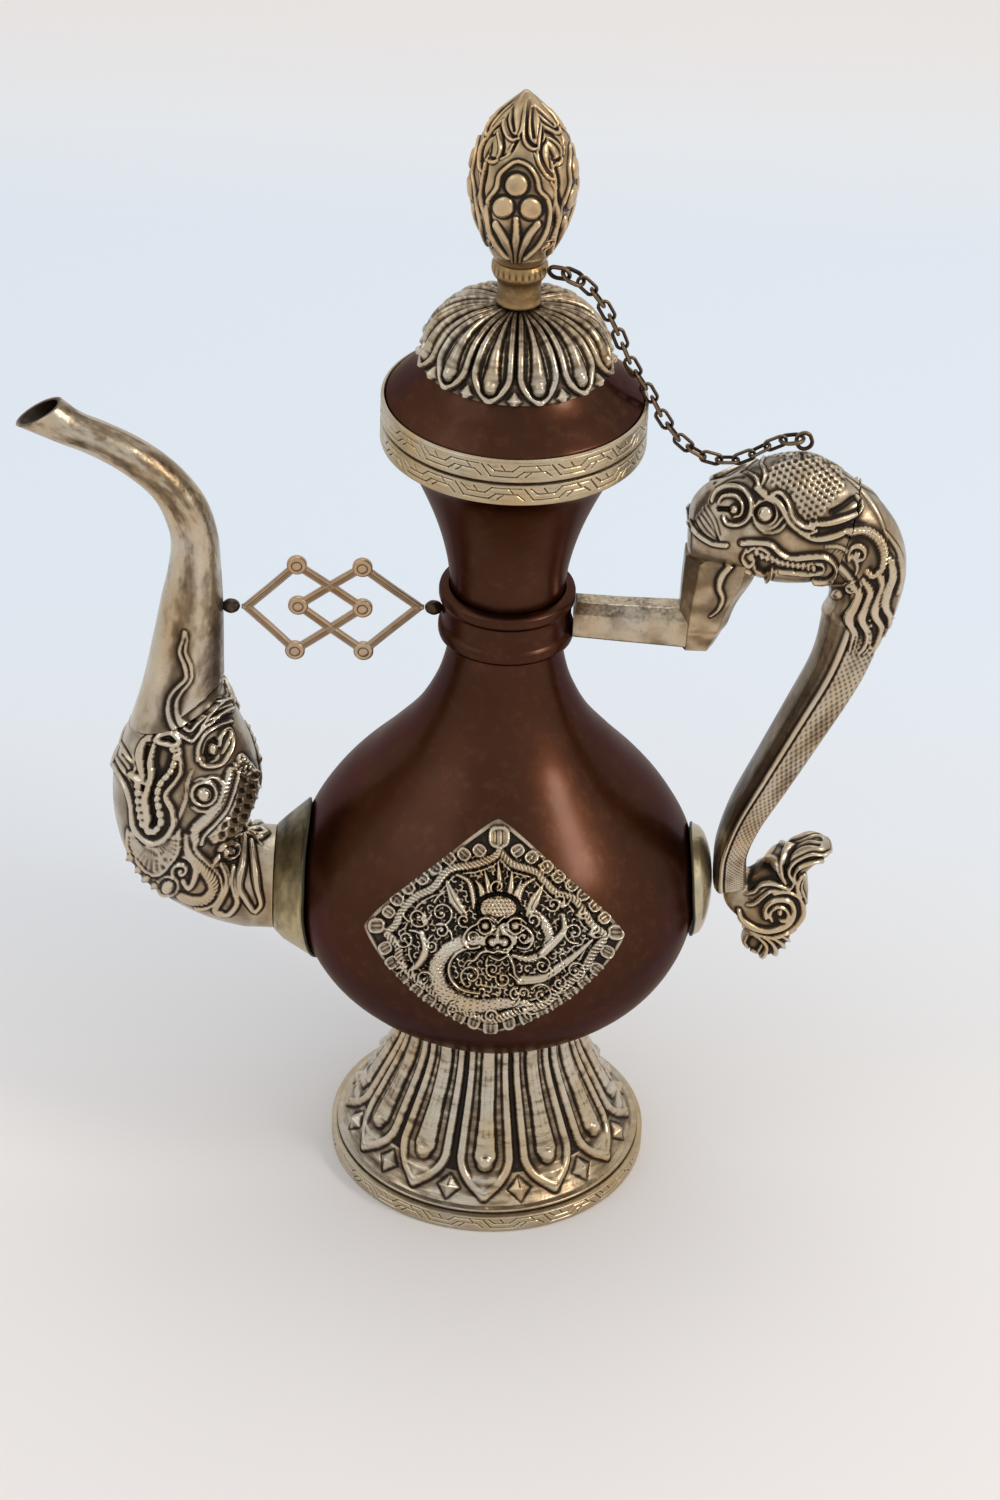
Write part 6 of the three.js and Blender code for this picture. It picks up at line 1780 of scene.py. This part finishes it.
def strut_bar(a, b, over):
    """A flat bar between two corners, lined down its face, that passes over or under the bar it crosses."""
    a, b = np.array(a, float), np.array(b, float)
    rows = 70
    f = np.linspace(0, 1, rows)
    middle = a + (b - a) * f[:, None]
    ahead = (b - a) / np.linalg.norm(b - a)
    side = np.array([-ahead[1], ahead[0]])
    face = np.array([[-1.05, -0.35], [-1.02, -0.6], [-0.8, -0.78], [-0.5, -0.8], [-0.22, -0.66],
                     [0, -0.9], [0.22, -0.66], [0.5, -0.8], [0.8, -0.78], [1.02, -0.6], [1.05, -0.35]])
    ring = np.concatenate([face, face[::-1] * [1, -1]])
    bend = over * 0.16 * np.sin(f * math.pi) ** 2
    x = middle[:, :1] + side[0] * ring[:, 0]
    z = middle[:, 1:] + side[1] * ring[:, 0]
    y = bend[:, None] + ring[:, 1]
    shade = np.where(np.abs(ring[:, 0]) < 0.3, 0.62, 0.5)
    shade[np.abs(np.abs(ring[:, 0]) - 0.22) < 0.05] = 0.16
    return np.stack([x, y, z], -1), np.repeat(shade[None], rows, 0), False


def strut_disc(centre):
    """A round rosette at a corner, with an engraved ring on both faces."""
    profile = np.array([[0.05, -1.12], [0.7, -1.12], [1.1, -1.08], [1.35, -0.86], [1.6, -1.05],
                        [2.1, -1.06], [2.5, -0.9], [2.7, -0.5], [2.7, 0.5], [2.5, 0.9], [2.1, 1.06],
                        [1.6, 1.05], [1.35, 0.86], [1.1, 1.08], [0.7, 1.12], [0.05, 1.12]])
    a = np.arange(48) / 48 * TAU
    x = centre[0] + profile[:, :1] * np.cos(a)
    z = centre[1] + profile[:, :1] * np.sin(a)
    shade = np.full((len(profile), 48), 0.56)
    shade[[3, 12]] = 0.1
    return np.stack([x, np.repeat(profile[:, 1:], 48, 1), z], -1), shade, False


def strut_tip(corner, side):
    """The pointed end where two bars meet and the ball is soldered on."""
    f = np.linspace(0, 1, 8)[:, None]
    a = np.arange(24) / 24 * TAU
    half = 1.5 - 0.9 * f
    x = corner[0] + side * (f * 2.3 - 0.9)
    points = np.stack(np.broadcast_arrays(x, 0.7 * np.sin(a), corner[1] + half * np.cos(a)), -1)
    return points, np.full(points.shape[:2], PLAIN_MARK), False


def make_strut():
    parts = []
    for corners, first in ((STRUT_LEFT, 1), (STRUT_RIGHT, -1)):
        for k in range(4):
            over = first if k % 2 else -first
            parts.append(strut_bar(corners[k], corners[(k + 1) % 4], over))
    parts += [strut_tip(STRUT_LEFT[0], side=-1), strut_tip(STRUT_RIGHT[2], side=1)]
    discs = [STRUT_LEFT[1], STRUT_LEFT[2], STRUT_LEFT[3], STRUT_RIGHT[0], STRUT_RIGHT[1],
             STRUT_RIGHT[3]]
    parts += [strut_disc(centre) for centre in discs]
    verts, quads, tris, marks = merged(parts)
    build_mesh("openwork_strut", verts, quads, tris, marks, strut_brass, "vessel",
               ["spout_strut"])
    for name, node, x, z in (("ball_spout", "strut_ball_spout", -73.4, 177),
                             ("ball_neck", "strut_ball_neck", -19.5, 178.9)):
        t = np.linspace(0.02, 0.98, 22) * math.pi
        a = np.arange(36) / 36 * TAU
        dent = 1 + 0.04 * soft_dents((22, 36), size=3, seed=41)
        r = 2.0 * dent
        x = x + 0.1 * np.sign(x + 40)
        p = np.stack([x + 1.2 * r * np.cos(t)[:, None], r * np.sin(t)[:, None] * np.cos(a),
                      z + r * np.sin(t)[:, None] * np.sin(a)], -1)
        skin(name, p, bronze, "vessel", [node], 0.4 + 4 * (dent - 1))


ARM = [[14.5, 5.5, 178.3], [19, 5.55, 178.2], [30, 5.7, 177.6], [45, 6.05, 177.05], [50, 6.2, 176.9],
       [55, 6.3, 176.8]]


def make_arm():
    """The faceted arm, which runs on under the post and ends in line with the post's far side."""
    run = even(ARM, count=170)
    ring = np.stack(section_ring([[b, a] for a, b in OCTAGON], aspect=1.0, cols=160), 1)
    y, z = run[:, 1:2] * ring[:, 0], run[:, 2:] + run[:, 1:2] * ring[:, 1]
    px = np.repeat(run[:, :1], len(ring), 1)
    clear = np.sqrt(np.maximum(18.65 ** 2 - y ** 2, 1))
    px = np.where(px < clear, clear + 0.02 * (px - clear), px)
    px = px + np.clip((run[:, :1] - 48) / 7, 0, 1) * (z - run[:, 2:]) * 0.3
    patches = soft_dents(px.shape, size=5, seed=51)
    fine = soft_dents(px.shape, size=26, seed=52)
    upper = np.clip(ring[:, 1] - 0.2, 0, 1)[None]
    shade = 0.6 + 0.16 * patches + 0.3 * fine * upper - 0.35 * np.clip(1 - (px - 18) / 3, 0, 1) * upper
    p = np.stack([px, y, z], -1)
    skin("arm", p, silver, "vessel", ["handle_arm"], np.clip(shade, 0, 1))


def make_chain():
    """Links measured from their solids, made round and smooth."""
    names = ["finial_eye", "finial_ring"] + [f"chain_link_{k:02d}" for k in range(1,
            20)] + ["handle_ring", "handle_eye"]
    for place, node in enumerate(names):
        source = frame["nodes"][node]
        points = np.array([source.matrix_world @ v.co for v in source.data.vertices]) / MM
        centre = points.mean(0)
        _, _, axes = np.linalg.svd(points - centre, full_matrices=False)
        spans = [(points - centre) @ axis for axis in axes]
        half = [(s.max() - s.min()) / 2 for s in spans]
        wire = half[2] * 0.98
        long_half, wide_half = half[0] - wire, half[1] - wire
        straight = max(long_half - wide_half, 0)
        turn = np.arange(44) / 44 * TAU
        core = np.stack([np.cos(turn) * wide_half + np.sign(np.cos(turn)) * straight,
                         np.sin(turn) * wide_half], 1)
        core = spline(core, LINK_STEPS, closed=True)
        ahead = np.roll(core, -1, 0) - np.roll(core, 1, 0)
        ahead /= np.linalg.norm(ahead, axis=1, keepdims=True)
        out = np.stack([ahead[:, 1], -ahead[:, 0]], 1)
        phi = np.arange(WIRE_SIDES) / WIRE_SIDES * TAU
        worn = wire * (1 + 0.04 * np.sin(3 * np.arange(LINK_STEPS) / LINK_STEPS * TAU + place))
        ring = core[:, None] + out[:, None] * (worn[:, None] * np.cos(phi))[..., None]
        tall = worn[:, None] * np.sin(phi)
        p = centre + ring[..., :1] * axes[0] + ring[..., 1:] * axes[1] + tall[..., None] * axes[2]
        body = body_of(source)
        body = body if isinstance(body, str) else body[0]
        patina_and_painted_light = np.repeat((0.42 + 0.25 * np.cos(phi))[None], LINK_STEPS, 0)
        skin(f"{node}_wire", p, bronze, body, [node], patina_and_painted_light, wrap=(True, True))


def dress(material, *nodes):
    for node in nodes:
        data = frame["nodes"][node].data
        data.materials.clear()
        data.materials.append(material)


FLOOR_NEAR, FLOOR_FAR = -0.15, 0.85


def pale_floor():
    """Pale board with painted light: warm light painted near the front and far back, cooler light between.
    """
    n = Nodes("pale_floor")
    split = n.tree.nodes.new("ShaderNodeSeparateXYZ")
    n.join(n.where, split.inputs[0])
    place = n.tree.nodes.new("ShaderNodeMapRange")
    place.inputs["From Min"].default_value = FLOOR_NEAR
    place.inputs["From Max"].default_value = FLOOR_FAR
    n.join(split.outputs["Y"], place.inputs["Value"])
    warm, cool = (0.80, 0.765, 0.745), (0.70, 0.765, 0.835)
    painted_light_tone = n.ramp(place.outputs[0], [(0.0, warm), (0.16, (0.78, 0.755, 0.74)),
                                     (0.3, (0.735, 0.765, 0.80)), (0.45, cool),
                                     (0.72, (0.70, 0.765, 0.83)), (0.81, (0.76, 0.785, 0.81)),
                                     (0.92, warm)])
    n.colour(n.mix(n.spread(n.noise(scale=5, detail=3), low=0.0, high=0.1), painted_light_tone, (0.7, 0.7, 0.7)))
    n.rough(n.spread(n.noise(scale=300, detail=3), low=0.7, high=0.85))
    n.shader.inputs["Specular IOR Level"].default_value = 0.15
    n.bump(n.noise(scale=1500, detail=4), strength=0.02, distance=0.0005)
    return n.material


SKY_COLOUR, SKY_STRENGTH = (0.98, 0.985, 1.0, 1), 0.84
BACKDROP_COLOUR = (0.76, 0.78, 0.8, 1)


def backdrop():
    """The sky that lights the piece, and the plain grey that the camera and reflections see."""
    world = bpy.data.worlds.new("studio")
    bpy.context.scene.world = world
    world.use_nodes = True
    tree = world.node_tree
    tree.nodes.clear()
    out = tree.nodes.new("ShaderNodeOutputWorld")
    lit = tree.nodes.new("ShaderNodeBackground")
    lit.inputs["Color"].default_value = SKY_COLOUR
    lit.inputs["Strength"].default_value = SKY_STRENGTH
    seen = tree.nodes.new("ShaderNodeBackground")
    seen.inputs["Color"].default_value = BACKDROP_COLOUR
    path = tree.nodes.new("ShaderNodeLightPath")
    rays = path.outputs["Is Camera Ray"]
    for kind in ("Is Glossy Ray", "Is Transmission Ray"):
        either = tree.nodes.new("ShaderNodeMath")
        either.operation = "MAXIMUM"
        tree.links.new(rays, either.inputs[0])
        tree.links.new(path.outputs[kind], either.inputs[1])
        rays = either.outputs[0]
    mix = tree.nodes.new("ShaderNodeMixShader")
    tree.links.new(rays, mix.inputs[0])
    tree.links.new(lit.outputs[0], mix.inputs[1])
    tree.links.new(seen.outputs[0], mix.inputs[2])
    tree.links.new(mix.outputs[0], out.inputs[0])


FLOOR_HALF, FLOOR_DROP = 6.0, 0.0002
LIT_POINT = (0, 0, 0.15)
# Name, place in m, size in m, power in W and colour
LAMPS = (
    ("window", (1.05, -0.52, 0.95), 0.32, 5.6, (1.0, 0.92, 0.82)),
    ("left", (-1.0, -0.5, 1.2), 0.9, 1.9, (0.95, 0.97, 1.0)),
    ("top", (0.1, 0.7, 1.5), 0.9, 2.9, (1.0, 1.0, 1.0)),
)


def make_stage():
    floor = bpy.data.meshes.new("floor")
    corners = [(-1, -1), (1, -1), (1, 1), (-1, 1)]
    floor.from_pydata([(x * FLOOR_HALF, y * FLOOR_HALF, -FLOOR_DROP) for x, y in corners], [],
                      [(0, 1, 2, 3)])
    floor.materials.append(pale_floor())
    ground = bpy.data.objects.new("floor", floor)
    bpy.context.scene.collection.objects.link(ground)
    backdrop()
    for name, place, size, power, colour in LAMPS:
        data = bpy.data.lights.new(name, "AREA")
        data.size = size
        data.energy = power
        data.color = colour
        lamp = bpy.data.objects.new(name, data)
        bpy.context.scene.collection.objects.link(lamp)
        lamp.location = place
        lamp.rotation_euler = (lamp.location - Vector(LIT_POINT)).to_track_quat("Z", "Y").to_euler()


make_stage()
make_body()
make_neck()
make_foot()
make_cap()
make_lid()
make_sleeve()
make_bands()
make_plaques()
make_flange()
make_boss()
make_finial()
make_spout_head()
make_spout_tube()
make_handle()
make_strut()
make_arm()
make_chain()
dress(bronze, "finial_rod")
dress(copper, "base_plate", "foot_collar")

bpy.context.scene.view_settings.view_transform = "Standard"
